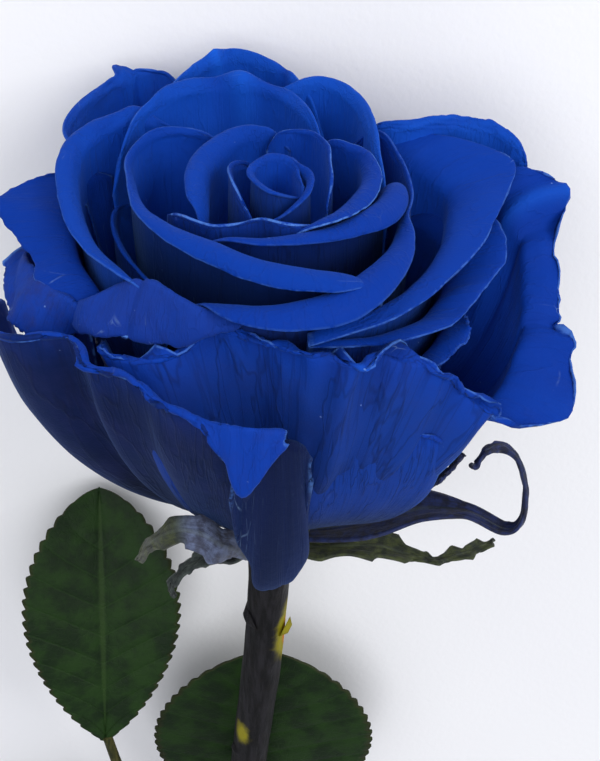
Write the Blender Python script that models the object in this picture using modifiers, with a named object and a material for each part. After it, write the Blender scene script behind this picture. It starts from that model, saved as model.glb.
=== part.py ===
"""A preserved rose that lies on its side: a bloom of many petals, its calyx, its cut stem and two leaves.

The flower is designed in its own frame, in millimetres: X to the right, Y away from the viewer, Z along
the stem up to the face of the bloom, with the foot of the petals near Z = 0. Angles round the Z axis are in
degrees and start at the viewer's side (-Y), growing to the right (+X). The frame is then laid down on the
surface Z = 0 of the world, with the bloom towards -Y and the cut end of the stem towards +Y.
"""
import math
from dataclasses import dataclass

import bmesh
import bpy
import numpy as np
from mathutils import Matrix, Vector

MM = 0.001

# How the rose lies
AXIS_HEIGHT = 27.0       # the foot of the petals over the surface
AXIS_TILT = 7.5          # degrees; the bloom end is the high end
SHIFT_X = -11.96         # these two bring the middle of the whole rose over the origin
SHIFT_Y = -63.65
FLAT_DEPTH = 0.5         # what comes this close to the surface rests flat on it

# Bloom
PETAL_THICKNESS = 0.7
CREST = 0.72             # share of a petal's length below its crest; the rest is the rolled lip
LOW_REACH = 0.72         # how far out the body's lower handle lies, as a share of the way to the crest
LOW_TURN = 0.55          # how far round that handle lies, as a share of the way from foot to crest
HIGH_RISE = 0.66         # height of the body's upper handle, as a share of the petal's rise
HIGH_BELLY = 0.35        # how much of the belly that handle takes
LIP_SETTLE = 1.0         # radians of the lip's roll that lie between the crest and the seen rim
RUFFLE_FROM = 0.35       # share of a petal's length below which it has no waves
RUFFLE_ORDERS = 5
RUFFLE_FALL = 0.8        # how fast the finer waves fade
RUFFLE_SLANT = 2.2       # how much the waves slant across the petal
CORE_PROFILE = [(0.0, 0.6), (4.6, 1.0), (7.5, 4.0), (9.8, 10.0), (10.0, 17.0), (8.6, 25.0), (5.4, 32.0),
                (0.0, 35.0)]
CORE_SIDES = 12
INNER_GRID = (6, (0.1, 0.36, 0.58, 0.72, 1.0))            # columns, and the rows' places along the petal
OUTER_GRID = (6, (0.05, 0.28, 0.5, 0.72, 0.86, 1.0))
OUTER_FROM = 14.0        # petals with a rim wider than this take the outer grid
PRESSED_LAYER = 1.0      # petals that lie one on another on the surface are this far apart
STEP = 0.001             # share of a blade's width or length over which a slope is read

# Meshes
SHARP_ANGLE = 50.0       # degrees
SLIVER = 0.002           # points this close are made one after a union

# Calyx
RECEPTACLE_PROFILE = [(0.0, -8.2), (3.3, -8.2), (4.0, -6.8), (5.6, -4.6), (5.9, -2.4), (5.0, -0.8),
                      (0.0, 0.2)]
RECEPTACLE_SIDES = 16
SEPAL_THICKNESS = 0.7
SEPAL_ROWS = 12
SEPAL_KEEL = 0.25        # depth of a sepal's fold as a share of its half width

# Stem
STEM_RADIUS = 3.2
STEM_RESOLUTION = 3
STEM_PATH = [(0, 0, -8.5), (-0.3, 0, -18), (-0.9, 0, -32), (-2.2, 0, -50), (-3.6, 0, -70), (-4.8, 0, -92),
             (-5.6, 0, -112), (-6.2, 0, -128), (-6.5, 0, -140), (-6.6, -0.6, -165), (-6.4, -0.5, -190)]
STEM_SPREAD = [1.05, 1.0, 1.0, 1.0, 1.0, 1.0, 1.22, 1.0, 1.22, 1.0, 1.0]     # swells where leaves grow
STATIONS_PER_SPAN = 3    # a tube's rings between two points of its path
PRICKLE_SIDES = 8
PRICKLE_TIP = 0.45       # radius of a prickle's broken end as a share of its foot
PRICKLES = [             # foot, direction, radius and length of each
    ((-2.2, -0.8, -22.5), (-1.0, -0.25, -0.30), 2.2, 2.6),
    ((2.3, -1.0, -24.5), (1.0, -0.45, -0.15), 2.6, 1.6),
    ((-4.9, -1.0, -58.0), (-1.0, -0.5, 0.0), 1.8, 1.1),
]

# Leaves
LEAF_THICKNESS = 0.6
LEAF_SEGMENTS = 24
RACHIS_RADIUS = 0.85
RACHIS_FOOT = 1.6        # how much thicker it is where it grows from the stem
STALK_RESOLUTION = 1
TOOTH_DEPTH = 0.8


@dataclass
class Petal:
    """One petal. rim lists points of its crest from one side edge to the other: angle, radius, height."""
    name: str
    rim: list
    belly: float | tuple = 3.0   # how far the body bulges, or that along the rim
    low: float = 0.2             # how low the bulge sits
    top: float = 0.0             # lean just under the crest; negative leans outwards
    lip: tuple = (0, 1, 1, 0)    # width of the lip along the rim, or its rise where a margin is given
    margin: list = ()            # where a wide lip ends, one point for each of the rim's
    hang: float = 0.0            # how far a wide lip bulges before its margin
    curl: float = 1.5            # radius that the lip rolls on
    turn: float = 120.0          # degrees that the lip rolls through
    base: tuple = (4.5, 4.0)     # radius and height of the foot
    spread: float = 0.45         # width of the foot as a share of the rim's
    gather: float = 0.0          # how soon the body narrows under the crest
    centre: tuple = (0, 0)       # the point that the rim winds round
    ruffle: float = 0.25         # height of the waves near the margin
    waves: float = 2.0           # how many of them
    layer: float = 5.0           # place in the stack where it is pressed on the surface


HEART = [
    Petal("heart_core",
          [(-150, 1.2, 50), (-60, 1.6, 51), (30, 1.7, 51.5), (120, 1.9, 51), (200, 2.3, 51)],
          belly=0.6, lip=(0, 0.4, 0.5, 0.3), curl=0.4, base=(1.5, 20), spread=0.9, centre=(0, -2),
          ruffle=0.05),
    Petal("heart_fold",
          [(60, 3.6, 57.5), (140, 3, 58), (200, 2.8, 58.5), (270, 3, 58), (350, 3.3, 57.5),
           (415, 3.4, 56)],
          belly=1.6, lip=(0.1, 1, 1.1, 1.1, 1, 0.2), curl=0.6, base=(2.5, 20), spread=0.9, centre=(0, -2),
          ruffle=0.05),
    Petal("heart_wrap",
          [(150, 3.4, 58.5), (90, 3.9, 58), (45, 4.4, 57), (0, 4.9, 55), (-45, 5.2, 53),
           (-90, 5.2, 51)],
          belly=1.6, lip=(0.2, 1, 1.2, 0.8, 0.4, 0), curl=0.7, base=(3, 18), spread=0.8, centre=(0, -2),
          ruffle=0.05),
    Petal("heart_flap",
          [(-165, 5, 54), (-130, 5.2, 57), (-100, 5.8, 57.5), (-60, 5.3, 56.5), (-25, 6, 54)],
          belly=1, lip=(0, 0.4, 0.8, 0.4, 0), curl=0.8, base=(3.5, 18), centre=(0, -1), ruffle=0.05),
    Petal("inner_front",
          [(-75, 13, 53), (-60, 12.6, 55), (-42, 11.3, 55), (-28, 9.8, 55.4), (-12, 8.6, 56),
           (10, 9.6, 56), (35, 9, 54.5), (60, 8.6, 52)],
          belly=2, lip=(0, 0.5, 0.6, 0.5, 0.5, 0.5, 0.3, 0), curl=0.8, ruffle=0.08, base=(4, 17)),
]
RINGS = [
    Petal("ring_left",
          [(-40, 12.4, 50.5), (-55, 10.8, 54), (-67, 9.6, 55), (-95, 8.9, 55.8), (-119, 8.9, 56.5),
           (-151, 9.8, 57.3), (-172, 9, 57.8), (168, 7.8, 55.5)],
          belly=2, lip=(0.6, 2, 3.6, 4.2, 4, 3, 1.6, 0.3), curl=2.1, turn=110, ruffle=0.1, base=(4, 18)),
    Petal("ring_right",
          [(-170, 7.4, 55.5), (178, 7.8, 57.8), (155, 9, 58), (130, 7.9, 58), (105, 6.6, 57.5),
           (75, 6.6, 57), (52, 7.4, 54)],
          belly=1.6, lip=(0.1, 0.4, 0.6, 0.8, 0.6, 0.5, 0.1), curl=0.8, ruffle=0.08, base=(4, 18)),
    Petal("ring_fold",
          [(152, 9.4, 54), (140, 10.6, 56.8), (120, 11.9, 56.5), (95, 10.8, 56), (68, 9.7, 56),
           (43, 9.8, 56), (22, 9.8, 55.5), (0, 9.6, 52.5)],
          belly=2.2, lip=(0.2, 1, 1.8, 3.2, 3.6, 3, 2.2, 0.4), curl=1.4, turn=128, ruffle=0.1,
          base=(4, 17)),
    Petal("second_front",
          [(-46, 13.2, 52.2), (-30, 12.4, 54.6), (-7, 11.2, 55), (24, 10.5, 55), (52, 10.9, 55),
           (76, 12.3, 55), (96, 13.4, 54.4), (108, 13.4, 51.5)],
          belly=2.6, lip=(0.3, 1.8, 3, 3.6, 4.4, 5, 4, 0.6), curl=1.5, turn=145, ruffle=0.1,
          base=(4.5, 14)),
    Petal("second_left",
          [(-156, 9.6, 51), (-140, 13, 56), (-124, 17.8, 56.7), (-105, 18.5, 56.2), (-88, 17.3, 55.6),
           (-70, 16.2, 55.2), (-50, 14.4, 55), (-28, 13.4, 54.8), (-8, 14.2, 54.4), (12, 15.4, 54),
           (30, 17.4, 53), (42, 18.4, 50)],
          belly=2.6, top=-0.8, lip=(0.1, 0.7, 1.3, 1.4, 1.9, 3, 4.2, 4.9, 5, 5, 4, 0.8), curl=1.75,
          turn=148, ruffle=0.12, base=(4.5, 13)),
    Petal("second_back",
          [(-104, 20.4, 50), (-116, 20.8, 55), (-130, 22.2, 57), (-144, 23, 57.3), (-157, 22.6, 57.6),
           (-170, 20.2, 58), (176, 17.4, 58), (163, 13.6, 57.6), (148, 10.4, 54.6), (134, 9.4, 48)],
          belly=2, top=-1, lip=(0.1, 0.6, 1.4, 2.4, 2.6, 2.4, 2, 1.4, 0.6, 0.2), curl=1.7, turn=90,
          base=(4.5, 14)),
    Petal("second_right",
          [(-162, 22.8, 51), (-172, 21.6, 54.6), (178, 21.4, 56.6), (169, 23.4, 57.2), (160, 23.4, 57),
           (150, 21.2, 56.4), (136, 17.2, 56), (122, 14.8, 55), (106, 13.6, 53), (90, 13.2, 48)],
          belly=2, top=-1, lip=(0.1, 0.6, 1.4, 2, 2.2, 2.2, 2, 1.8, 1.2, 0.2), curl=1.8, turn=95,
          ruffle=0.15, base=(4.5, 14)),
]
SHOULDERS = [
    Petal("third_right",
          [(150, 15.4, 51), (138, 18.4, 55), (120, 17.6, 54.4), (98, 16.4, 53.8), (80, 15.8, 53.2),
           (60, 16.2, 53), (40, 17, 52.8), (20, 17.9, 52), (2, 18.4, 51.4), (-14, 18.6, 51),
           (-30, 18.4, 49.6)],
          belly=(3, 3, 3, 3, 3, 2.6, 2, 1.2, 0.8), lip=(0.2, 1.1, 1.4, 1.4, 2.4, 4.6, 6.4, 7.2, 6.4, 5,
                                                        1.6), curl=2.4, turn=142, ruffle=0.15,
          base=(4.5, 11)),
    Petal("third_left",
          [(-118, 19.6, 46), (-108, 20.4, 48), (-96, 20.2, 48.6), (-78, 18.8, 48.4), (-62, 17.8, 48),
           (-48, 17.4, 47.4), (-34, 17.6, 45.8)],
          belly=2, top=-0.4, lip=(0.1, 0.6, 1.2, 1.4, 1.4, 1, 0.2), curl=1.3, turn=90, ruffle=0.15,
          base=(4.5, 11)),
    Petal("third_left_outer",
          [(-146, 18.6, 52), (-132, 22, 55.6), (-120, 25, 56), (-106, 25.6, 55), (-90, 24.2, 53.6),
           (-70, 22.6, 52.2), (-52, 21.2, 51), (-36, 20.4, 48)],
          belly=2.6, top=-0.6, lip=(0.2, 1.4, 2.6, 3.4, 3.6, 3.4, 2.6, 0.5), curl=1.9, turn=115,
          ruffle=0.2, base=(4.5, 10)),
    Petal("fourth_right",
          [(152, 15, 47), (142, 17.6, 49.4), (131, 19.8, 49.8), (120, 22, 49.2), (110, 22.8, 48.4),
           (98, 21.2, 48), (81, 19.6, 47.8), (60, 18.4, 47.6), (38, 18, 47.4), (12, 18, 47)],
          margin=[(146, 18.4, 51.4), (138, 22.2, 53.4), (127, 25.8, 53.4), (115, 30.8, 52.8),
                  (109.5, 31.8, 51.8),
                  (98, 27.8, 50.4), (81, 24, 49), (60, 21.2, 48), (38, 20.2, 47.6), (11, 19.8, 46.8)],
          belly=1.6, top=-1.6, lip=(1.6, 2.4, 2.8, 3, 3, 2.6, 2.2, 1.8, 1.4, 0.6), ruffle=0.2,
          base=(4.5, 9)),
    Petal("fifth_right",
          [(126, 18.6, 42), (112, 20.4, 43.6), (98, 21, 43.6), (84, 20.8, 43), (70, 20.4, 43),
           (52, 19.8, 43.6), (34, 19, 44.6), (12, 17.8, 45.6)],
          margin=[(118, 22.6, 45.6), (108, 26, 47.4), (97, 28, 48), (87, 27.8, 46.2), (76, 25.4, 45),
                  (60, 23.8, 44.4), (38, 21.2, 45.2), (12, 18.8, 45.8)],
          belly=1, top=-1, lip=(1, 2, 2.8, 2.8, 2.2, 1.8, 1.3, 0.4), ruffle=0.25, base=(4.5, 7.5)),
    Petal("low_right_fold",
          [(86, 20.4, 38.4), (77, 21.4, 39.6), (68, 22, 40), (58, 21.8, 39.8), (47, 21.4, 39.4)],
          margin=[(79, 22.4, 41.8), (70.5, 24, 42.8), (65, 25.4, 42), (55, 24.9, 41.6), (46, 24.4, 41.2)],
          belly=1.2, lip=(1.4, 1.8, 2, 1.8, 1.2), ruffle=0.2, base=(4.5, 7)),
]
BACK = [
    Petal("back_top",
          [(-130, 20.6, 51), (-140, 23.6, 55.4), (-149, 25.4, 57), (-157, 27.8, 57.4), (-165, 30, 57.8),
           (-171, 29.2, 57.8), (-178, 27.2, 57.4), (176, 24.4, 57), (168, 21.4, 54.6), (160, 18.4, 50)],
          belly=2, top=-2.4, lip=(0.2, 1, 1.6, 2, 2.2, 2, 1.8, 1.6, 1, 0.2), curl=2.2, turn=85, ruffle=0.3,
          base=(4.5, 8), layer=3),
    Petal("back_left",
          [(-104, 24, 48), (-112, 26.8, 52.6), (-119, 30.4, 54), (-127, 32.4, 54.6), (-136, 33.3, 55),
           (-143, 34.6, 55), (-149, 33.4, 55), (-153, 31, 54.4), (-154, 27.6, 51)],
          belly=2.2, top=-3, lip=(0.2, 1.2, 2, 2, 1.4, 0.6, 0.6, 0.5, 0.2), curl=2.2, turn=85, ruffle=0.3,
          base=(4.5, 7.5), layer=4),
    Petal("back_right",
          [(148, 15.4, 50), (140, 19.4, 55), (131, 23.6, 55.6), (126.5, 28.6, 55.2), (122.5, 32, 54.6),
           (118.5, 34.2, 53.6), (115.5, 35.2, 51.8), (114, 35, 48.5)],
          belly=3.4, top=-2, lip=(0.2, 1, 1.6, 2, 2, 1.8, 1.4, 0.3), curl=1.8, turn=95, ruffle=0.25,
          base=(4.5, 7.5), layer=3.5),
]
LEFT = [
    Petal("left_wing",
          [(-118, 23.4, 49), (-108, 24.6, 50), (-98, 25, 49.8), (-88, 24.6, 49.2), (-78, 24, 48.4),
           (-68, 23.2, 47.4), (-58, 22.4, 45.6)],
          margin=[(-109, 26, 51.6), (-101, 29.4, 52.2), (-94, 33.6, 51), (-89.5, 32.6, 49.8),
                  (-81, 29.2, 48),
                  (-72, 28.4, 46.8), (-61, 25, 45.8)],
          belly=2.6, top=-1.8, lip=(0.6, 1.4, 2, 2, 1.8, 1.4, 0.6), ruffle=0.25, base=(4.5, 8.5)),
    Petal("left_under",
          [(-94, 29.6, 45), (-84, 29.8, 46.4), (-75, 28.4, 46.6), (-69, 27.4, 46.6), (-64, 26, 46.4),
           (-60, 24.8, 46)],
          margin=[(-86, 32.6, 45.4), (-77, 32.4, 44), (-71, 32.4, 42.6), (-67, 30.8, 42), (-64, 28, 42),
                  (-60.5, 25.6, 42.6)],
          belly=2.4, top=-1.4, lip=(0.6, 0.9, 0.9, 0.9, 0.9, 0.6), ruffle=0.25, base=(4.5, 6.5)),
    Petal("front_flap",
          [(-66, 24.6, 45.4), (-59, 24.6, 47.4), (-54, 21.8, 49.6), (-49, 20.6, 50.8), (-43, 19.6, 51.6),
           (-37, 19.4, 51.2), (-31, 19.4, 50.6), (-23, 19.2, 50), (-15, 18, 49.4), (-9, 16.8, 48)],
          margin=[(-62, 25.8, 43.6), (-56, 26, 44.2), (-51, 25, 44.8), (-46.5, 23.6, 45), (-41, 22.2, 45),
                  (-35, 21.2, 45.2), (-29, 20.6, 46), (-21, 20, 47.8), (-14, 18.6, 48.6), (-8.4, 17, 48)],
          belly=0.4, top=-4, hang=1.2, lip=(0.5, 0.7, 0.8, 0.8, 0.8, 0.8, 0.7, 0.6, 0.4, 0.2), ruffle=0.2,
          base=(4.5, 9)),
    Petal("front_left_guard",
          [(-88, 33.6, 38.4), (-77, 35, 41), (-67, 34.6, 43), (-60, 32, 44.2), (-55, 28.4, 44.8),
           (-50, 27.8, 44.6), (-45, 29, 44.2), (-38, 27.6, 44.2), (-32, 27.2, 43.8), (-27, 28, 43.2),
           (-21, 28.2, 42.9), (-16, 28.4, 42.9), (-12, 28.7, 43), (-9, 28.9, 43.1), (-6, 29.1, 43.1),
           (-3, 29.1, 43), (0, 29, 42.8), (3, 28.8, 42.4)],
          margin=[(-88, 34.2, 39), (-77, 35.6, 41.6), (-67, 35.2, 43.6), (-60, 32.6, 44.8), (-55, 29, 45.4),
                  (-50, 28.4, 45.2), (-45, 29.6, 44.8), (-38, 28.2, 44.8), (-32, 27.8, 44.4),
                  (-27, 28.4, 43.6), (-20.6, 28.5, 43.2), (-15.6, 29, 42.6), (-12, 30, 40.6),
                  (-8.8, 30.4, 38.2), (-6, 31, 34.9), (-3.2, 31, 36.9), (0, 30.2, 39.8), (2.6, 29.4, 41.8)],
          belly=-0.4, top=-0.8, hang=0.5,
          lip=(0.2, 0.2, 0.2, 0.2, 0.2, 0.2, 0.2, 0.2, 0.2, 0.2, 0.3, 0.4, 0.5, 0.6, 0.6, 0.6, 0.5, 0.3),
          ruffle=0.2, waves=3, base=(4.5, 4.6)),
]
RIGHT = [
    Petal("hanging_tip",
          [(-8, 27.6, 38), (-6.4, 28.2, 40), (-4.8, 28.5, 41), (-3, 28.7, 41.4), (-1.4, 28.8, 41.5),
           (0.4, 28.9, 41.5), (2, 29, 41.4), (3.8, 29, 41.2), (5.4, 29, 40.8), (7, 28.8, 40),
           (8.6, 28.4, 38)],
          margin=[(-10, 26.6, 30), (-9.8, 24, 22), (-9.2, 21.9, 17.2), (-5.4, 21.7, 13.4),
                  (-4.2, 21.2, 9), (0, 20.8, 8.2), (4.4, 20.6, 8.6), (8.2, 20.7, 9.8), (11.4, 21.5, 14.6),
                  (9.4, 23.2, 23), (9.2, 26.4, 33)],
          belly=-3.5, top=-1.4, hang=2.5, spread=0.6,
          lip=(0.3, 0.3, 0.4, 0.4, 0.4, 0.4, 0.4, 0.4, 0.4, 0.3, 0.3), ruffle=0.1, base=(4.5, 5.6)),
    Petal("front_guard",
          [(-54, 23.8, 42.6), (-49, 26, 44), (-43, 26, 44.2), (-36, 24.2, 44.4), (-29, 21.6, 45),
           (-23, 19.4, 46.6), (-16, 18.6, 47.4), (-7, 18.6, 47), (2, 19.2, 46.6), (10, 20.6, 46.2),
           (17, 21.9, 45.8), (24, 22.6, 45.7), (31, 23.2, 45.4), (37, 24.4, 44.8), (43, 25.8, 43.6),
           (47.5, 27.2, 41.2), (51.5, 28.8, 38.4), (55.5, 30, 36.2), (58.5, 31.2, 34.4)],
          belly=(3.6, 3.6, 3.6, 3.6, 3.6, 3.4, 2.6, 1, -2.5, -6), top=0, gather=0.55,
          lip=(0.2, 0.5, 0.5, 0.5, 0.5, 0.5, 0.5, 0.5, 0.6, 0.6, 0.6, 0.6, 0.6, 0.6, 0.6, 0.6, 0.6, 0.5,
               0.3),
          curl=0.8, turn=70, spread=0.3, ruffle=0.3, waves=4, base=(4.5, 6)),
    Petal("right_under",
          [(10, 19.6, 30), (20, 20.4, 31.6), (29, 22, 33), (36, 24, 33.8), (42, 26, 33.8),
           (46, 27.2, 32.8), (49, 27.4, 30.6)],
          belly=(2.4, 2.4, 2.2, 1.8, 1.4, 1), top=0.2, lip=(0.1, 0.4, 0.5, 0.5, 0.5, 0.4, 0.1), curl=0.9,
          turn=80, ruffle=0.2, spread=0.6, base=(4.5, 4.6)),
    Petal("right_guard",
          [(130, 24, 40), (121, 26, 43), (112, 28.4, 45), (108, 30.2, 45.2), (103, 31, 44),
           (98, 31, 42.2), (93, 31, 40.2), (89, 31, 38.6), (86, 31, 37.2), (82, 30.8, 35.4),
           (77, 30.2, 33.8), (71, 29.6, 32.6), (65, 28.8, 31.8), (60, 27.8, 31.2)],
          margin=[(128, 27.6, 46), (119, 30.6, 49), (112, 34, 50.6), (109, 38, 48.8), (105, 38.3, 46.4),
                  (98, 35.6, 43.8), (93, 35.6, 41.8), (89, 35.6, 39.4), (86, 36.2, 37.6), (82.4, 38, 36.2),
                  (80, 38.2, 34), (72, 38.6, 31), (65, 34.4, 31), (60, 30, 33)],
          top=-1.4, belly=(1, 1, 1, 1, 1, 1, 0, -3, -5), gather=0.1, hang=0.3,
          lip=(2, 3, 4, 4, 3.4, 2.8, 2.4, 2.4, 2.4, 2.4, 2.2, 1.8, 1.4, 0.8), ruffle=0.2, waves=3,
          base=(4.5, 5.4)),
]
FLOOR = [
    Petal("floor_mid",
          [(150, 29, 46), (160, 32.6, 49), (172, 34.2, 50), (-176, 34.2, 50), (-164, 32.6, 49),
           (-154, 29, 46)],
          belly=2.2, top=-2, lip=(0.4, 2, 3.4, 3.4, 2, 0.4), curl=2.4, turn=110, ruffle=0.35,
          base=(4.5, 4), layer=0),
    Petal("floor_right",
          [(113, 34.4, 40), (120, 35.4, 44.6), (129, 35.6, 47.2), (140, 35, 48), (152, 33.4, 47),
           (162, 30, 44)],
          belly=2.4, top=-1.8, lip=(0.4, 2.4, 3.4, 3.2, 2.2, 0.4), curl=2.4, turn=115, ruffle=0.35,
          base=(4.5, 4.8), layer=2),
    Petal("floor_left",
          [(-96, 27.6, 40), (-106, 29.4, 43.4), (-119, 31.4, 46), (-133, 33.6, 47.4), (-148, 33.2, 47),
           (-160, 30, 43.6)],
          belly=2.4, top=-1.8, lip=(0.4, 1.8, 2.8, 3, 2.2, 0.4), curl=2.4, turn=115, ruffle=0.35,
          base=(4.5, 4.8), layer=1),
]
PETALS = HEART + RINGS + SHOULDERS + BACK + LEFT + RIGHT + FLOOR


def unit(vectors):
    """The same directions at length 1."""
    return vectors / np.maximum(np.linalg.norm(vectors, axis=-1, keepdims=True), 1e-9)


def smooth_path(points, share):
    """A smooth curve through evenly spread points, read at shares from 0 to 1."""
    p = np.asarray(points, float).reshape(len(points), -1)
    spans = len(p) - 1
    place = np.clip(np.asarray(share, float) * spans, 0, spans)
    span = np.minimum(place.astype(int), spans - 1)
    f = (place - span)[:, None]
    ends = np.vstack([2 * p[:1] - p[1:2], p, 2 * p[-1:] - p[-2:-1]])
    a, b, c, d = ends[span], ends[span + 1], ends[span + 2], ends[span + 3]
    square = 2 * a - 5 * b + 4 * c - d
    cube = 3 * b - a - 3 * c + d
    return 0.5 * (2 * b + (c - a) * f + square * f**2 + cube * f**3)


def round_axis(angle, radius, height, centre=(0, 0)):
    """Points from their angle, radius and height about an upright axis."""
    turn = np.radians(angle)
    return np.stack([centre[0] + radius * np.sin(turn), centre[1] - radius * np.cos(turn), height], axis=-1)


def slope(path, share):
    """The direction of a smooth path at each share."""
    ahead = smooth_path(path, np.clip(share + STEP, 0, 1))
    return unit(ahead - smooth_path(path, np.clip(share - STEP, 0, 1)))


def rolled_lip(petal, crest, upward, outward, width, run):
    """A lip that leaves the crest as an arc, which rolls outwards, and then runs straight on."""
    run = run * width
    bend = np.minimum(run / petal.curl, math.radians(petal.turn))
    rest = run - bend * petal.curl
    along_up = petal.curl * np.sin(bend) + rest * np.cos(bend)
    along_out = petal.curl * (1 - np.cos(bend)) + rest * np.sin(bend)
    return crest + along_up[:, None] * upward + along_out[:, None] * outward


def spread_lip(petal, u, crest, upward, width, run):
    """A wide lip, from the crest through two handles to the petal's margin."""
    rise = smooth_path(petal.lip, u)[:, 0]
    goal = smooth_path(round_axis(*np.array(petal.margin, float).T, petal.centre), u)
    goal = goal + unit(goal - crest) * (width - rise)[:, None]
    away = unit(goal * (1, 1, 0) - (*petal.centre, 0))
    first = crest + upward * rise[:, None]
    second = goal + away * petal.hang
    f = run[:, None]
    return crest * (1 - f)**3 + first * 3 * f * (1 - f)**2 + second * 3 * f**2 * (1 - f) + goal * f**3


def lip_width(petal, u):
    """Width of the rolled lip along the rim."""
    return np.maximum(smooth_path(petal.lip, u)[:, 0], 0)


def petal_points(petal, u, t):
    """Points of a petal's middle surface, for u from side to side and t from foot to margin."""
    rim = np.array(petal.rim, float)
    rim_angle = np.degrees(np.unwrap(np.radians(rim[:, 0])))
    rim_points = round_axis(rim_angle, rim[:, 1], rim[:, 2], petal.centre)
    crest = smooth_path(rim_points, u)
    width = lip_width(petal, u)

    # A rolled lip's rim is its top as it is seen, so the crest lies a little below and inside it.
    if not petal.margin:
        settle = np.minimum(width / petal.curl, LIP_SETTLE)
        inwards = unit(np.array(petal.centre) - crest[:, :2])
        crest[:, :2] += inwards * (petal.curl * (1 - np.cos(settle)))[:, None]
        crest[:, 2] -= petal.curl * np.sin(settle)
    sideways = slope(rim_points, u)

    # Each point stands over a foot that is narrower than the rim.
    angle = smooth_path(rim_angle, u)[:, 0]
    middle = smooth_path(rim_angle, [0.5])[0, 0]
    foot_angle = middle + (angle - middle) * petal.spread
    from_axis = crest[:, :2] - np.array(petal.centre)
    crest_radius = np.hypot(from_axis[:, 0], from_axis[:, 1])
    crest_angle = np.degrees(np.arctan2(from_axis[:, 0], -from_axis[:, 1]))
    crest_angle = angle + (crest_angle - angle + 180) % 360 - 180
    foot_radius, foot_height = petal.base
    rise = crest[:, 2] - foot_height

    # The body is a cubic curve from the foot, through two handles, to the crest.
    ones = np.ones(len(u))
    foot = round_axis(foot_angle, foot_radius * ones, foot_height * ones, petal.centre)
    belly = np.interp(u, np.linspace(0, 1, np.size(petal.belly)), np.ravel(petal.belly))
    low_radius = foot_radius + (crest_radius - foot_radius) * LOW_REACH + belly
    low_angle = foot_angle + (crest_angle - foot_angle) * LOW_TURN
    low = round_axis(low_angle, low_radius, foot_height + petal.low * rise, petal.centre)
    high_radius = crest_radius + petal.top + belly * HIGH_BELLY
    high_angle = crest_angle + (foot_angle - crest_angle) * petal.gather
    high = round_axis(high_angle, high_radius, foot_height + rise * HIGH_RISE, petal.centre)
    s = np.clip(t / CREST, 0, 1)[:, None]
    body = foot * (1 - s)**3 + low * 3 * s * (1 - s)**2 + high * 3 * s**2 * (1 - s) + crest * s**3

    # The lip goes on from there.
    upward = unit(crest - high)
    outward = np.cross(sideways, upward)
    facing = (outward[:, :2] * from_axis).sum(1)
    outward = unit(outward * np.where(facing < 0, -1.0, 1.0)[:, None])
    run = np.clip((t - CREST) / (1 - CREST), 0, 1)
    if petal.margin:
        lip = spread_lip(petal, u, crest, upward, width, run)
    else:
        lip = rolled_lip(petal, crest, upward, outward, width, run)
    return np.where(t[:, None] > CREST, lip, body)


def ruffle_height(petal, u, t, seed):
    """Waves that grow towards the margin, as heights off the petal's smooth surface."""
    random = np.random.default_rng(seed)
    total = np.zeros(len(u))
    for order in range(1, RUFFLE_ORDERS + 1):
        first, second = random.uniform(0, 2 * math.pi, 2)
        across = np.sin(order * (petal.waves * math.pi * u + RUFFLE_SLANT * t) + first)
        total += across * np.cos(2 * order * t + second) / order**RUFFLE_FALL
    fade = np.clip((t - RUFFLE_FROM) / (1 - RUFFLE_FROM), 0, 1)**1.5
    return total * fade * petal.ruffle


def ruffled_points(petal, u, t, seed):
    """The petal's surface with its waves."""
    right, left = np.clip(u + STEP, 0, 1), np.clip(u - STEP, 0, 1)
    over, under = np.clip(t + STEP, 0, 1), np.clip(t - STEP, 0, 1)
    across = petal_points(petal, right, t) - petal_points(petal, left, t)
    along = petal_points(petal, u, over) - petal_points(petal, u, under)
    normal = unit(np.cross(across, along))
    return petal_points(petal, u, t) + normal * ruffle_height(petal, u, t, seed)[:, None]


def laid_down(points):
    """Points of the flower's frame, in millimetres, as they lie in the world, in metres."""
    tilt = math.radians(AXIS_TILT)
    x, y, z = np.asarray(points, float).T
    return np.stack([
        -x + SHIFT_X,
        -y * math.sin(tilt) - z * math.cos(tilt) + SHIFT_Y,
        AXIS_HEIGHT - y * math.cos(tilt) + z * math.sin(tilt),
    ], axis=-1) * MM


def new_material(name, colour, roughness):
    material = bpy.data.materials.new(name)
    material.use_nodes = True
    shader = material.node_tree.nodes["Principled BSDF"]
    shader.inputs["Base Color"].default_value = (*colour, 1)
    shader.inputs["Roughness"].default_value = roughness
    return material


def new_object(name, bm, collection, material=None):
    """Makes the object and frees the bmesh it comes from."""
    bmesh.ops.recalc_face_normals(bm, faces=bm.faces)
    mesh = bpy.data.meshes.new(name)
    bm.to_mesh(mesh)
    bm.free()
    mesh.shade_smooth()
    mesh.set_sharp_from_angle(angle=math.radians(SHARP_ANGLE))
    made = bpy.data.objects.new(name, mesh)
    collection.objects.link(made)
    if material:
        mesh.materials.append(material)
    return made


def evaluated_mesh(source):
    graph = bpy.context.evaluated_depsgraph_get()
    return bpy.data.meshes.new_from_object(source.evaluated_get(graph))


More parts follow.
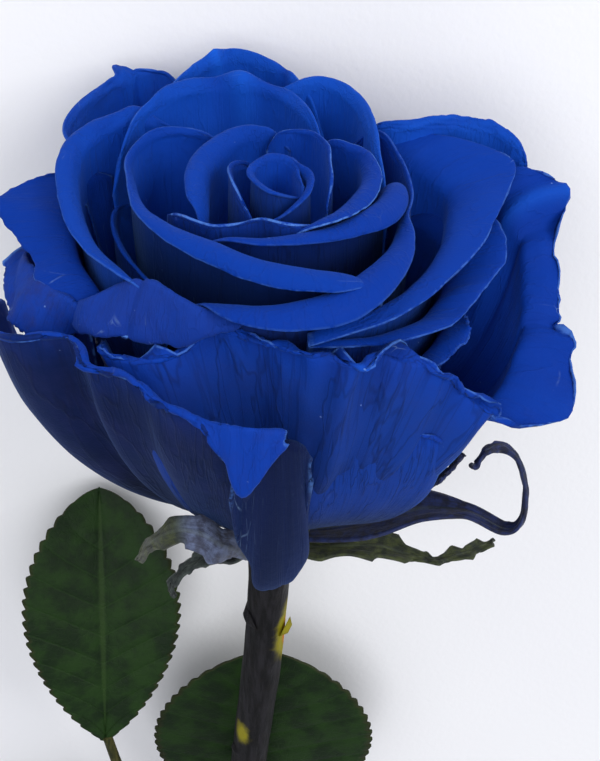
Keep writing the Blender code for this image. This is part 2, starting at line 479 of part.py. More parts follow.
def blade(name, columns, rows, shape, thickness, collection):
    """A thin closed blade: a grid moved by shape(u, t), its faces split, then given a thickness."""
    bm = bmesh.new()
    bmesh.ops.create_grid(bm, x_segments=columns, y_segments=len(rows) - 1, size=1)
    u = np.array([(v.co.x + 1) / 2 for v in bm.verts])
    steps = np.array([(v.co.y + 1) / 2 * (len(rows) - 1) for v in bm.verts])
    t = np.interp(steps, range(len(rows)), rows)
    for vertex, place in zip(bm.verts, shape(u, t)):
        vertex.co = place
    bmesh.ops.triangulate(bm, faces=bm.faces, quad_method="FIXED")
    made = new_object(name, bm, collection)
    solid = made.modifiers.new("Thickness", "SOLIDIFY")
    solid.thickness = thickness * MM
    solid.offset = 0
    mesh = evaluated_mesh(made)
    made.modifiers.clear()
    made.data = mesh
    return made


def lathe(name, profile, sides, collection):
    """A turned solid of the flower's frame, laid down."""
    bm = bmesh.new()
    points = [bm.verts.new((radius, 0, height)) for radius, height in profile]
    for first, second in zip(points, points[1:]):
        bm.edges.new((first, second))
    bmesh.ops.spin(bm, geom=bm.verts[:] + bm.edges[:], axis=(0, 0, 1), cent=(0, 0, 0), angle=2 * math.pi,
                   steps=sides, use_merge=True)
    bmesh.ops.remove_doubles(bm, verts=bm.verts, dist=SLIVER)
    for vertex, place in zip(bm.verts, laid_down([v.co for v in bm.verts])):
        vertex.co = place
    return new_object(name, bm, collection)


def keep_largest_shell(mesh):
    """Drops loose scraps, and fills a sealed hollow by dropping its inner shell."""
    bm = bmesh.new()
    bm.from_mesh(mesh)
    bmesh.ops.triangulate(bm, faces=bm.faces)
    bmesh.ops.remove_doubles(bm, verts=bm.verts, dist=SLIVER * MM)
    shells = []
    unseen = set(bm.faces)
    while unseen:
        start = unseen.pop()
        shell, front = {start}, [start]
        while front:
            for edge in front.pop().edges:
                if len(edge.link_faces) != 2:
                    continue
                for face in edge.link_faces:
                    if face in unseen:
                        unseen.discard(face)
                        shell.add(face)
                        front.append(face)
        shells.append(shell)
    largest = max(shells, key=len)
    bmesh.ops.delete(bm, geom=[face for face in bm.faces if face not in largest], context="FACES")
    bm.to_mesh(mesh)
    bm.free()


def fuse(body, pieces, material, solver="EXACT"):
    """Joins all objects of a collection to the body, applies that, and removes them and the collection."""
    union = body.modifiers.new("Fuse", "BOOLEAN")
    union.operation = "UNION"
    union.operand_type = "COLLECTION"
    union.collection = pieces
    union.solver = solver
    mesh = evaluated_mesh(body)
    body.modifiers.clear()
    body.data = mesh
    for piece in list(pieces.objects):
        bpy.data.objects.remove(piece)
    bpy.data.collections.remove(pieces)
    keep_largest_shell(mesh)
    mesh.materials.clear()
    mesh.materials.append(material)


def new_collection(name):
    made = bpy.data.collections.new(name)
    bpy.context.scene.collection.children.link(made)
    return made


def pressed(places, layer):
    """World places, with what would sink into the surface pressed flat on it, in the stack's order."""
    lowest = (PETAL_THICKNESS / 2 + PRESSED_LAYER * layer) * MM
    places[:, 2] = np.maximum(places[:, 2], lowest)
    return places


def rest_flat(made):
    """Brings the lowest vertices onto the surface, so that the piece rests on a small flat."""
    for vertex in made.data.vertices:
        if vertex.co.z < FLAT_DEPTH * MM:
            vertex.co.z = 0


def build_bloom(rose, material):
    """Every petal stands on a small core, in one fused body."""
    petals = new_collection("Petals")
    for number, petal in enumerate(PETALS):
        widest = max(radius for _, radius, _ in petal.rim)
        columns, rows = OUTER_GRID if widest > OUTER_FROM else INNER_GRID
        blade(petal.name, columns, rows,
              lambda u, t: pressed(laid_down(ruffled_points(petal, u, t, number)), petal.layer),
              PETAL_THICKNESS, petals)
    core = lathe("bloom", CORE_PROFILE, CORE_SIDES, rose)
    fuse(core, petals, material, solver="MANIFOLD")
    rest_flat(core)


@dataclass
class Sepal:
    """One sepal: its midline as angle, radius and height, and its half widths from foot to tip."""
    name: str
    midline: list
    half_widths: tuple
    teeth: float = 0.0


SEPALS = [
    Sepal("sepal_right_curled",
          [(80, 4.6, -3.0), (80, 10.0, -1.0), (82, 16.0, 1.2), (84, 22.0, 3.4), (82, 27.6, 4.6),
           (78, 33.2, 4.4), (79, 35.4, 6.0), (82, 35.5, 9.4), (83, 34.6, 13.0), (83, 33.1, 16.0),
           (82, 30.7, 18.0), (78, 28.9, 18.5), (75, 28.0, 17.4)],
          (2.8, 3.8, 4.2, 3.0, 1.5, 1.2, 0.9, 0.7, 0.6, 0.6, 0.7, 0.6, 0.4)),
    Sepal("sepal_right_toothed",
          [(40, 4.6, -3.4), (56, 8.4, -2.4), (68, 12.4, -2.0), (75, 16.0, -2.6), (76, 20.0, -3.2),
           (76, 22.9, -3.5), (78, 25.7, -3.6), (82, 28.5, -3.8), (85, 30.7, -4.0), (88, 32.8, -4.0)],
          (2.4, 2.6, 2.3, 2.5, 1.6, 0.6, 0.8, 1.1, 0.8, 0.4), teeth=0.45),
    Sepal("sepal_left",
          [(-4, 4.6, -3.2), (-8, 11.2, 2.0), (-10, 16.0, 7.6), (-12.5, 19.2, 12.4), (-16.4, 22.2, 16.4),
           (-21.3, 23.5, 19.0), (-26.7, 24.3, 19.4), (-34, 24.4, 16.5), (-43, 23.5, 11.0),
           (-54, 22.1, 4.0)],
          (2.4, 2.6, 2.6, 2.7, 3.0, 3.0, 2.6, 1.7, 1.0, 0.4)),
    Sepal("sepal_floor_left",
          [(-122, 4.6, -3.2), (-122, 11.0, -2.0), (-124, 17.0, -3.0), (-128, 21.0, -7.0),
           (-130, 23.0, -12.0)],
          (2.6, 3.6, 2.8, 1.6, 0.4)),
    Sepal("sepal_floor_right",
          [(150, 4.6, -3.2), (150, 11.0, -1.6), (148, 17.0, -2.0), (144, 21.6, -5.0), (142, 24.0, -10.0)],
          (2.6, 3.6, 2.8, 1.6, 0.4)),
]


def sepal_points(sepal, u, t):
    """A pointed strip, folded along its midline, that can carry teeth."""
    midline = [round_axis(*point) for point in np.array(sepal.midline, float)]
    angle = np.radians(smooth_path([point[0] for point in sepal.midline], t)[:, 0])
    side = np.stack([np.cos(angle), np.sin(angle), np.zeros(len(angle))], axis=-1)
    tooth = np.abs((t * SEPAL_ROWS / 2) % 1 - 0.5) * 2 * sepal.teeth
    half = smooth_path(sepal.half_widths, t)[:, 0] + tooth
    off = 2 * u - 1
    face = unit(np.cross(slope(midline, t), side))
    keel = face * (np.abs(off) * half * SEPAL_KEEL)[:, None]
    return smooth_path(midline, t) + side * (off * half)[:, None] + keel


def build_calyx(rose, material):
    """The receptacle under the petals, with its five sepals."""
    sepals = new_collection("Sepals")
    rows = tuple(np.linspace(0, 1, SEPAL_ROWS + 1))
    for sepal in SEPALS:
        blade(sepal.name, 2, rows, lambda u, t: laid_down(sepal_points(sepal, u, t)), SEPAL_THICKNESS,
              sepals)
    receptacle = lathe("calyx", RECEPTACLE_PROFILE, RECEPTACLE_SIDES, rose)
    fuse(receptacle, sepals, material)


def tube(name, path, radii, resolution, collection):
    """A bevelled curve along a smooth path of the flower's frame, made a closed mesh."""
    count = STATIONS_PER_SPAN * (len(path) - 1) + 1
    share = np.linspace(0, 1, count)
    places = laid_down(smooth_path(path, share))
    widths = smooth_path(radii, share)[:, 0]
    curve = bpy.data.curves.new(name, "CURVE")
    curve.dimensions = "3D"
    curve.bevel_depth = MM
    curve.bevel_resolution = resolution
    curve.use_fill_caps = True
    spline = curve.splines.new("POLY")
    spline.points.add(count - 1)
    for point, place, width in zip(spline.points, places, widths):
        point.co = (*place, 1)
        point.radius = width
    guide = bpy.data.objects.new(name + "_guide", curve)
    collection.objects.link(guide)
    mesh = evaluated_mesh(guide)
    bpy.data.objects.remove(guide)
    bm = bmesh.new()
    bm.from_mesh(mesh)
    bmesh.ops.remove_doubles(bm, verts=bm.verts, dist=SLIVER * MM)
    return new_object(name, bm, collection)


def prickle(place, direction, radius, length, collection):
    """A broken prickle: a blunt cone with its foot sunk in the stem."""
    base, tip = laid_down([place, np.array(place) + unit(np.array(direction)) * length])
    bm = bmesh.new()
    bmesh.ops.create_cone(bm, cap_ends=True, segments=PRICKLE_SIDES, radius1=radius * MM,
                          radius2=PRICKLE_TIP * radius * MM, depth=float(np.linalg.norm(tip - base)))
    aim = Vector(tip - base).to_track_quat("Z", "Y").to_matrix().to_4x4()
    bmesh.ops.transform(bm, matrix=Matrix.Translation(Vector((base + tip) / 2)) @ aim, verts=bm.verts)
    new_object("prickle", bm, collection)


def build_stem(rose, material):
    """The cut stem. Its cut end rests on the surface on a small flat."""
    stem = tube("stem", STEM_PATH, [STEM_RADIUS * share for share in STEM_SPREAD], STEM_RESOLUTION, rose)
    prickles = new_collection("Prickles")
    for place, direction, radius, length in PRICKLES:
        prickle(place, direction, radius, length, prickles)
    fuse(stem, prickles, material)
    rest_flat(stem)


@dataclass
class Leaflet:
    """One leaflet, from its foot to its tip, with the direction that its blade spreads in."""
    foot: tuple
    tip: tuple
    side: tuple
    width: float
    droop: float = 2.0       # how far its length arches
    fold: float = 1.5        # how far its two halves rise from the midrib


@dataclass
class Leaf:
    name: str
    rachis: list             # path of the leaf stalk, from the stem to the last leaflet
    stalks: list             # short side stalks, each from the rachis to a leaflet's foot
    leaflets: list


LEAVES = [
    Leaf("leaf_left",
         [(-10.6, 1.0, -110), (-14.5, 1.2, -103), (-19.5, 1.4, -92), (-24.0, 1.6, -80), (-26.4, 1.0, -68),
          (-27.8, 0.7, -57.8)],
         [[(-20.0, 1.4, -91), (-25.5, 3.5, -90.0), (-30.0, 5.0, -91.0)],
          [(-18.4, 1.4, -94), (-14.6, -3.5, -97.0), (-12.5, -6.0, -101.0)]],
         [Leaflet((-28.2, 0.8, -58.6), (-28.6, 21.6, -17.6), (0.97, 0.20, 0.10), 25.6, 2.5, 2.0),
          Leaflet((-29.0, 4.8, -90.8), (-62.0, 9.0, -108.0), (-0.46, -0.25, 0.88), 21.0),
          Leaflet((-12.7, -5.6, -100.4), (-6.0, -11.5, -135.0), (0.98, 0.15, 0.20), 20.0)]),
    Leaf("leaf_lower",
         [(-6.4, 5.2, -138), (-5.4, 6.8, -130), (-3.4, 7.6, -118), (-1.8, 7.9, -106), (-1.0, 8.0, -94)],
         [[(-3.0, 7.6, -114), (-8.5, 8.9, -114.5), (-12.5, 9.6, -117.0)],
          [(-2.6, 7.6, -112), (2.5, 8.9, -112.0), (7.5, 9.6, -114.0)]],
         [Leaflet((-1.0, 8.0, -95), (-0.4, 8.4, -43.5), (1.0, 0.0, 0.0), 39.0, 1.0, 1.0),
          Leaflet((-11.8, 9.5, -116.5), (-40.0, 7.0, -140.0), (-0.64, 0.0, 0.77), 22.0),
          Leaflet((6.8, 9.5, -113.5), (38.0, 7.6, -134.0), (0.55, 0.0, 0.83), 22.0)]),
]


def leaflet_outline(t):
    """Half width along a leaflet, as a share of its largest."""
    return np.sin(math.pi * np.clip(t, 0.008, 0.985)**0.85)**0.75


def leaflet_points(leaflet, u, t, teeth):
    """A serrated oval blade, folded along its midrib and arched along its length."""
    foot, tip = np.array(leaflet.foot, float), np.array(leaflet.tip, float)
    along = tip - foot
    side = np.array(leaflet.side, float)
    side = unit(side - along * (side @ along) / (along @ along))
    face = unit(np.cross(unit(along), side))
    face = face * (-1 if face[1] > 0 else 1)
    off = 2 * u - 1
    tooth = (np.round(t * teeth) % 2) * TOOTH_DEPTH * np.minimum(1, 8 * t * (1 - t))
    half = leaflet_outline(t) * leaflet.width / 2 + tooth
    lift = np.abs(off)**1.5 * leaflet.fold * leaflet_outline(t) + np.sin(math.pi * t) * leaflet.droop
    return foot + along * t[:, None] + side * (off * half)[:, None] + face * lift[:, None]


def build_leaf(leaf, rose, material):
    """A leaf stalk that starts a clearance off the stem, with its leaflets fused on."""
    blades = new_collection("Leaflets")
    rows = tuple(np.linspace(0, 1, LEAF_SEGMENTS + 1))
    for number, leaflet in enumerate(leaf.leaflets):
        blade(f"leaflet_{number}", 2, rows,
              lambda u, t: laid_down(leaflet_points(leaflet, u, t, LEAF_SEGMENTS)), LEAF_THICKNESS, blades)
    for number, stalk in enumerate(leaf.stalks):
        tube(f"stalk_{number}", stalk, [RACHIS_RADIUS, RACHIS_RADIUS], STALK_RESOLUTION, blades)
    radii = [RACHIS_RADIUS * RACHIS_FOOT, RACHIS_RADIUS, RACHIS_RADIUS]
    rachis = tube(leaf.name, leaf.rachis, radii, STALK_RESOLUTION, rose)
    fuse(rachis, blades, material)


def build_rose():
    rose = new_collection("Preserved rose")
    build_bloom(rose, new_material("Blue petal", (0.006, 0.055, 0.42), 0.7))
    build_calyx(rose, new_material("Dark sepal", (0.018, 0.026, 0.035), 0.6))
    build_stem(rose, new_material("Charcoal stem", (0.022, 0.021, 0.025), 0.6))
    green = new_material("Dark green leaf", (0.010, 0.035, 0.012), 0.55)
    for leaf in LEAVES:
        build_leaf(leaf, rose, green)


for old in list(bpy.data.objects):
    bpy.data.objects.remove(old)
build_rose()
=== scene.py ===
# %% [markdown]
# # A preserved rose that lies on its side
#
# A preserved rose is a real garden rose whose sap has been replaced, so it keeps its form and takes a dye.
# This lesson builds one: a bloom of many blue petals, the calyx under it, the cut stem and two leaves. The
# packed model is loaded as a fixed frame first. Every piece made here is finer than its solid there, and
# stands in its place.
#
# The look of a rose is all in its petals, so most of the lesson is about one petal: a curve that it grows
# along, a lip that rolls outwards, and waves. The same few numbers that shape a petal in the solid model
# shape it here.

# %% Load the frame
import math
from dataclasses import dataclass

import bmesh
import bpy
import numpy as np
from mathutils import Matrix, Vector


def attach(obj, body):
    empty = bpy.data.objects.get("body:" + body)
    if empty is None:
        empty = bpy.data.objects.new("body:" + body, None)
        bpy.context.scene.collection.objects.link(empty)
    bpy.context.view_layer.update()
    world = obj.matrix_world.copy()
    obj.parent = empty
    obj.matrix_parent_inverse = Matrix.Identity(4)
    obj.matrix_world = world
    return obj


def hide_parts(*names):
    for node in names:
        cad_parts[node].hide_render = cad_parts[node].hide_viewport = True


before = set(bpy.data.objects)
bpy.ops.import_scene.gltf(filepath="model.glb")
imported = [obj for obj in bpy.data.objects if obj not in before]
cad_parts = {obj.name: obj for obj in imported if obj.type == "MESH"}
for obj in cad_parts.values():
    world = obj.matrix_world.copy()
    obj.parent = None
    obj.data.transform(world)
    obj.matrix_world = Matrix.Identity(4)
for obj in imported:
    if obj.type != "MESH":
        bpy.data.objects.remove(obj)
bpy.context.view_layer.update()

# %% [markdown]
# ## The flower's own frame
#
# A flower is easiest to describe upright. X runs to the right, Y away from the viewer and Z up along the
# stem to the face of the bloom, in millimetres, with the foot of the petals near Z = 0. Angles round the Z
# axis start at the viewer's side and grow to the right. At the end each point is laid down: the bloom turns
# over backwards towards the world's -Y, a little higher than the cut end of the stem.

# %% Lay the flower down
MM = 0.001
AXIS_HEIGHT = 27.0       # the foot of the petals over the surface
AXIS_TILT = 7.5          # degrees; the bloom end is the high end
SHIFT_X = -11.96
SHIFT_Y = -63.65
TILT = math.radians(AXIS_TILT)
LAID_TURN = Matrix((
    (-1, 0, 0),
    (0, -math.sin(TILT), -math.cos(TILT)),
    (0, -math.cos(TILT), math.sin(TILT)),
))


def laid_down(points):
    """Points of the flower's frame, in millimetres, as they lie in the world, in metres."""
    turned = np.asarray(points, float) @ np.array(LAID_TURN).T
    return (turned + (SHIFT_X, SHIFT_Y, AXIS_HEIGHT)) * MM


print("the heart of the bloom lies at", laid_down([(0, 0, 57)]).round(3)[0])

# %% [markdown]
# ## What describes a petal
#
# A petal starts at a narrow foot, bellies out, rises to a crest and then rolls outwards in a lip. The rim
# is the line that the eye follows along the top of that roll, so it is given point by point: angle, radius
# and height. The other numbers say how the body gets there and how the lip rolls. Everything else follows
# from a formula.

# %% Describe a petal
@dataclass
class Petal:
    """One petal. rim lists points of its rim, from one side edge to the other: angle, radius and height."""
    name: str
    rim: list
    belly: float | tuple = 3.0   # how far the body bulges, or that along the rim
    low: float = 0.2             # how low the bulge sits
    top: float = 0.0             # lean just under the crest; negative leans outwards
    lip: tuple = (0, 1, 1, 0)    # width of the lip along the rim, or its rise where a margin is given
    margin: list = ()            # where a wide lip ends, one point for each of the rim's
    hang: float = 0.0            # how far a wide lip bulges before its margin
    curl: float = 1.5            # radius that the lip rolls on
    turn: float = 120.0          # degrees that the lip rolls through
    base: tuple = (4.5, 4.0)     # radius and height of the foot
    spread: float = 0.45         # width of the foot as a share of the rim's
    gather: float = 0.0          # how soon the body narrows under the crest
    centre: tuple = (0, 0)       # the point that the rim winds round
    ruffle: float = 0.25         # height of the waves near the margin
    waves: float = 2.0           # how many of them
    layer: float = 5.0           # place in the stack where it is pressed on the surface


print("a petal is described by its", ", ".join(Petal.__dataclass_fields__))

# %% [markdown]
# ## The heart
#
# A rose opens from the outside in, so its heart stays a tight spiral of small upright petals. The second
# one here winds almost a full turn, and the third wraps it from the left. Their lips are short and hardly
# roll.

# %% The heart
HEART = [
    Petal("heart_core", [(-150, 1.2, 50), (-60, 1.6, 51), (30, 1.7, 51.5), (120, 1.9, 51), (200, 2.3, 51)],
        belly=0.6, lip=(0, 0.4, 0.5, 0.3), curl=0.4, base=(1.5, 20), spread=0.9, centre=(0, -2),
        ruffle=0.05),
    Petal("heart_fold", [(60, 3.6, 57.5), (140, 3, 58), (200, 2.8, 58.5), (270, 3, 58), (350, 3.3, 57.5),
        (415, 3.4, 56)],
        belly=1.6, lip=(0.1, 1, 1.1, 1.1, 1, 0.2), curl=0.6, base=(2.5, 20), spread=0.9, centre=(0, -2),
        ruffle=0.05),
    Petal("heart_wrap", [(150, 3.4, 58.5), (90, 3.9, 58), (45, 4.4, 57), (0, 4.9, 55), (-45, 5.2, 53),
        (-90, 5.2, 51)],
        belly=1.6, lip=(0.2, 1, 1.2, 0.8, 0.4, 0), curl=0.7, base=(3, 18), spread=0.8, centre=(0, -2),
        ruffle=0.05),
    Petal("heart_flap", [(-165, 5, 54), (-130, 5.2, 57), (-100, 5.8, 57.5), (-60, 5.3, 56.5), (-25, 6, 54)],
        belly=1, lip=(0, 0.4, 0.8, 0.4, 0), curl=0.8, base=(3.5, 18), centre=(0, -1), ruffle=0.05),
    Petal("inner_front", [(-75, 13, 53), (-60, 12.6, 55), (-42, 11.3, 55), (-28, 9.8, 55.4), (-12, 8.6, 56),
        (10, 9.6, 56), (35, 9, 54.5), (60, 8.6, 52)],
        belly=2, lip=(0, 0.5, 0.6, 0.5, 0.5, 0.5, 0.3, 0), curl=0.8, ruffle=0.08, base=(4, 17)),
]
print("heart:", len(HEART), "petals")

# %% [markdown]
# ## The rings round the heart
#
# The next petals stand in rings, each half hidden by its neighbours. Their lips are wide in front, where
# they roll over like a cuff, and narrow at the back, where the eye sees only their inner faces.

# %% The rings round the heart
RINGS = [
    Petal("ring_left", [(-40, 12.4, 50.5), (-55, 10.8, 54), (-67, 9.6, 55), (-95, 8.9, 55.8),
        (-119, 8.9, 56.5), (-151, 9.8, 57.3), (-172, 9, 57.8), (168, 7.8, 55.5)],
        belly=2, lip=(0.6, 2, 3.6, 4.2, 4, 3, 1.6, 0.3), curl=2.1, turn=110, ruffle=0.1, base=(4, 18)),
    Petal("ring_right", [(-170, 7.4, 55.5), (178, 7.8, 57.8), (155, 9, 58), (130, 7.9, 58),
        (105, 6.6, 57.5), (75, 6.6, 57), (52, 7.4, 54)],
        belly=1.6, lip=(0.1, 0.4, 0.6, 0.8, 0.6, 0.5, 0.1), curl=0.8, ruffle=0.08, base=(4, 18)),
    Petal("ring_fold", [(152, 9.4, 54), (140, 10.6, 56.8), (120, 11.9, 56.5), (95, 10.8, 56), (68, 9.7, 56),
        (43, 9.8, 56), (22, 9.8, 55.5), (0, 9.6, 52.5)],
        belly=2.2, lip=(0.2, 1, 1.8, 3.2, 3.6, 3, 2.2, 0.4), curl=1.4, turn=128, ruffle=0.1, base=(4, 17)),
    Petal("second_front", [(-46, 13.2, 52.2), (-30, 12.4, 54.6), (-7, 11.2, 55), (24, 10.5, 55),
        (52, 10.9, 55), (76, 12.3, 55), (96, 13.4, 54.4), (108, 13.4, 51.5)],
        belly=2.6, lip=(0.3, 1.8, 3, 3.6, 4.4, 5, 4, 0.6), turn=145, ruffle=0.1, base=(4.5, 14)),
    Petal("second_left", [(-156, 9.6, 51), (-140, 13, 56), (-124, 17.8, 56.7), (-105, 18.5, 56.2),
        (-88, 17.3, 55.6), (-70, 16.2, 55.2), (-50, 14.4, 55), (-28, 13.4, 54.8), (-8, 14.2, 54.4),
        (12, 15.4, 54), (30, 17.4, 53), (42, 18.4, 50)],
        belly=2.6, top=-0.8, lip=(0.1, 0.7, 1.3, 1.4, 1.9, 3, 4.2, 4.9, 5, 5, 4, 0.8), curl=1.75, turn=148,
        ruffle=0.12, base=(4.5, 13)),
    Petal("second_back", [(-104, 20.4, 50), (-116, 20.8, 55), (-130, 22.2, 57), (-144, 23, 57.3),
        (-157, 22.6, 57.6), (-170, 20.2, 58), (176, 17.4, 58), (163, 13.6, 57.6), (148, 10.4, 54.6),
        (134, 9.4, 48)],
        belly=2, top=-1, lip=(0.1, 0.6, 1.4, 2.4, 2.6, 2.4, 2, 1.4, 0.6, 0.2), curl=1.7, turn=90,
        base=(4.5, 14)),
    Petal("second_right", [(-162, 22.8, 51), (-172, 21.6, 54.6), (178, 21.4, 56.6), (169, 23.4, 57.2),
        (160, 23.4, 57), (150, 21.2, 56.4), (136, 17.2, 56), (122, 14.8, 55), (106, 13.6, 53),
        (90, 13.2, 48)],
        belly=2, top=-1, lip=(0.1, 0.6, 1.4, 2, 2.2, 2.2, 2, 1.8, 1.2, 0.2), curl=1.8, turn=95, ruffle=0.15,
        base=(4.5, 14)),
]
print("rings:", len(RINGS), "petals")

# %% [markdown]
# ## The shoulders
#
# Further out the petals are broad. The big one at the right flattens into a wide lip with a point, and two
# more lie under it like steps.

# %% The shoulders
SHOULDERS = [
    Petal("third_right", [(150, 15.4, 51), (138, 18.4, 55), (120, 17.6, 54.4), (98, 16.4, 53.8),
        (80, 15.8, 53.2), (60, 16.2, 53), (40, 17, 52.8), (20, 17.9, 52), (2, 18.4, 51.4), (-14, 18.6, 51),
        (-30, 18.4, 49.6)],
        belly=(3,) * 5 + (2.6, 2, 1.2, 0.8), lip=(0.2, 1.1, 1.4, 1.4, 2.4, 4.6, 6.4, 7.2, 6.4, 5, 1.6),
        curl=2.4, turn=142, ruffle=0.15, base=(4.5, 11)),
    Petal("third_left", [(-118, 19.6, 46), (-108, 20.4, 48), (-96, 20.2, 48.6), (-78, 18.8, 48.4),
        (-62, 17.8, 48), (-48, 17.4, 47.4), (-34, 17.6, 45.8)],
        belly=2, top=-0.4, lip=(0.1, 0.6, 1.2, 1.4, 1.4, 1, 0.2), curl=1.3, turn=90, ruffle=0.15,
        base=(4.5, 11)),
    Petal("third_left_outer", [(-146, 18.6, 52), (-132, 22, 55.6), (-120, 25, 56), (-106, 25.6, 55),
        (-90, 24.2, 53.6), (-70, 22.6, 52.2), (-52, 21.2, 51), (-36, 20.4, 48)],
        belly=2.6, top=-0.6, lip=(0.2, 1.4, 2.6, 3.4, 3.6, 3.4, 2.6, 0.5), curl=1.9, turn=115, ruffle=0.2,
        base=(4.5, 10)),
    Petal("fourth_right", [(152, 15, 47), (142, 17.6, 49.4), (131, 19.8, 49.8), (120, 22, 49.2),
        (110, 22.8, 48.4), (98, 21.2, 48), (81, 19.6, 47.8), (60, 18.4, 47.6), (38, 18, 47.4),
        (12, 18, 47)],
        margin=[(146, 18.4, 51.4), (138, 22.2, 53.4), (127, 25.8, 53.4), (115, 30.8, 52.8),
        (109.5, 31.8, 51.8), (98, 27.8, 50.4), (81, 24, 49), (60, 21.2, 48), (38, 20.2, 47.6),
        (11, 19.8, 46.8)],
        belly=1.6, top=-1.6, lip=(1.6, 2.4, 2.8, 3, 3, 2.6, 2.2, 1.8, 1.4, 0.6), ruffle=0.2, base=(4.5, 9)),
    Petal("fifth_right", [(126, 18.6, 42), (112, 20.4, 43.6), (98, 21, 43.6), (84, 20.8, 43),
        (70, 20.4, 43), (52, 19.8, 43.6), (34, 19, 44.6), (12, 17.8, 45.6)],
        margin=[(118, 22.6, 45.6), (108, 26, 47.4), (97, 28, 48), (87, 27.8, 46.2), (76, 25.4, 45),
        (60, 23.8, 44.4), (38, 21.2, 45.2), (12, 18.8, 45.8)],
        belly=1, top=-1, lip=(1, 2, 2.8, 2.8, 2.2, 1.8, 1.3, 0.4), base=(4.5, 7.5)),
    Petal("low_right_fold", [(86, 20.4, 38.4), (77, 21.4, 39.6), (68, 22, 40), (58, 21.8, 39.8),
        (47, 21.4, 39.4)],
        margin=[(79, 22.4, 41.8), (70.5, 24, 42.8), (65, 25.4, 42), (55, 24.9, 41.6), (46, 24.4, 41.2)],
        belly=1.2, lip=(1.4, 1.8, 2, 1.8, 1.2), ruffle=0.2, base=(4.5, 7)),
]
print("shoulders:", len(SHOULDERS), "petals")

# %% [markdown]
# ## The back
#
# Three petals close the bloom at the back and stand about as high as its heart. One ends in a small hooked
# point.

# %% The back
BACK = [
    Petal("back_top", [(-130, 20.6, 51), (-140, 23.6, 55.4), (-149, 25.4, 57), (-157, 27.8, 57.4),
        (-165, 30, 57.8), (-171, 29.2, 57.8), (-178, 27.2, 57.4), (176, 24.4, 57), (168, 21.4, 54.6),
        (160, 18.4, 50)],
        belly=2, top=-2.4, lip=(0.2, 1, 1.6, 2, 2.2, 2, 1.8, 1.6, 1, 0.2), curl=2.2, turn=85, ruffle=0.3,
        base=(4.5, 8), layer=3),
    Petal("back_left", [(-104, 24, 48), (-112, 26.8, 52.6), (-119, 30.4, 54), (-127, 32.4, 54.6),
        (-136, 33.3, 55), (-143, 34.6, 55), (-149, 33.4, 55), (-153, 31, 54.4), (-154, 27.6, 51)],
        belly=2.2, top=-3, lip=(0.2, 1.2, 2, 2, 1.4, 0.6, 0.6, 0.5, 0.2), curl=2.2, turn=85, ruffle=0.3,
        base=(4.5, 7.5), layer=4),
    Petal("back_right", [(148, 15.4, 50), (140, 19.4, 55), (131, 23.6, 55.6), (126.5, 28.6, 55.2),
        (122.5, 32, 54.6), (118.5, 34.2, 53.6), (115.5, 35.2, 51.8), (114, 35, 48.5)],
        belly=3.4, top=-2, lip=(0.2, 1, 1.6, 2, 2, 1.8, 1.4, 0.3), curl=1.8, turn=95, base=(4.5, 7.5),
        layer=3.5),
]
print("back:", len(BACK), "petals")

# %% [markdown]
# ## The left guard petals
#
# The outermost petals are called guard petals. They are the oldest, so they are the most creased. At the
# left one folds over like a flap, and the guard under it turns its margin out in a bright pointed triangle.

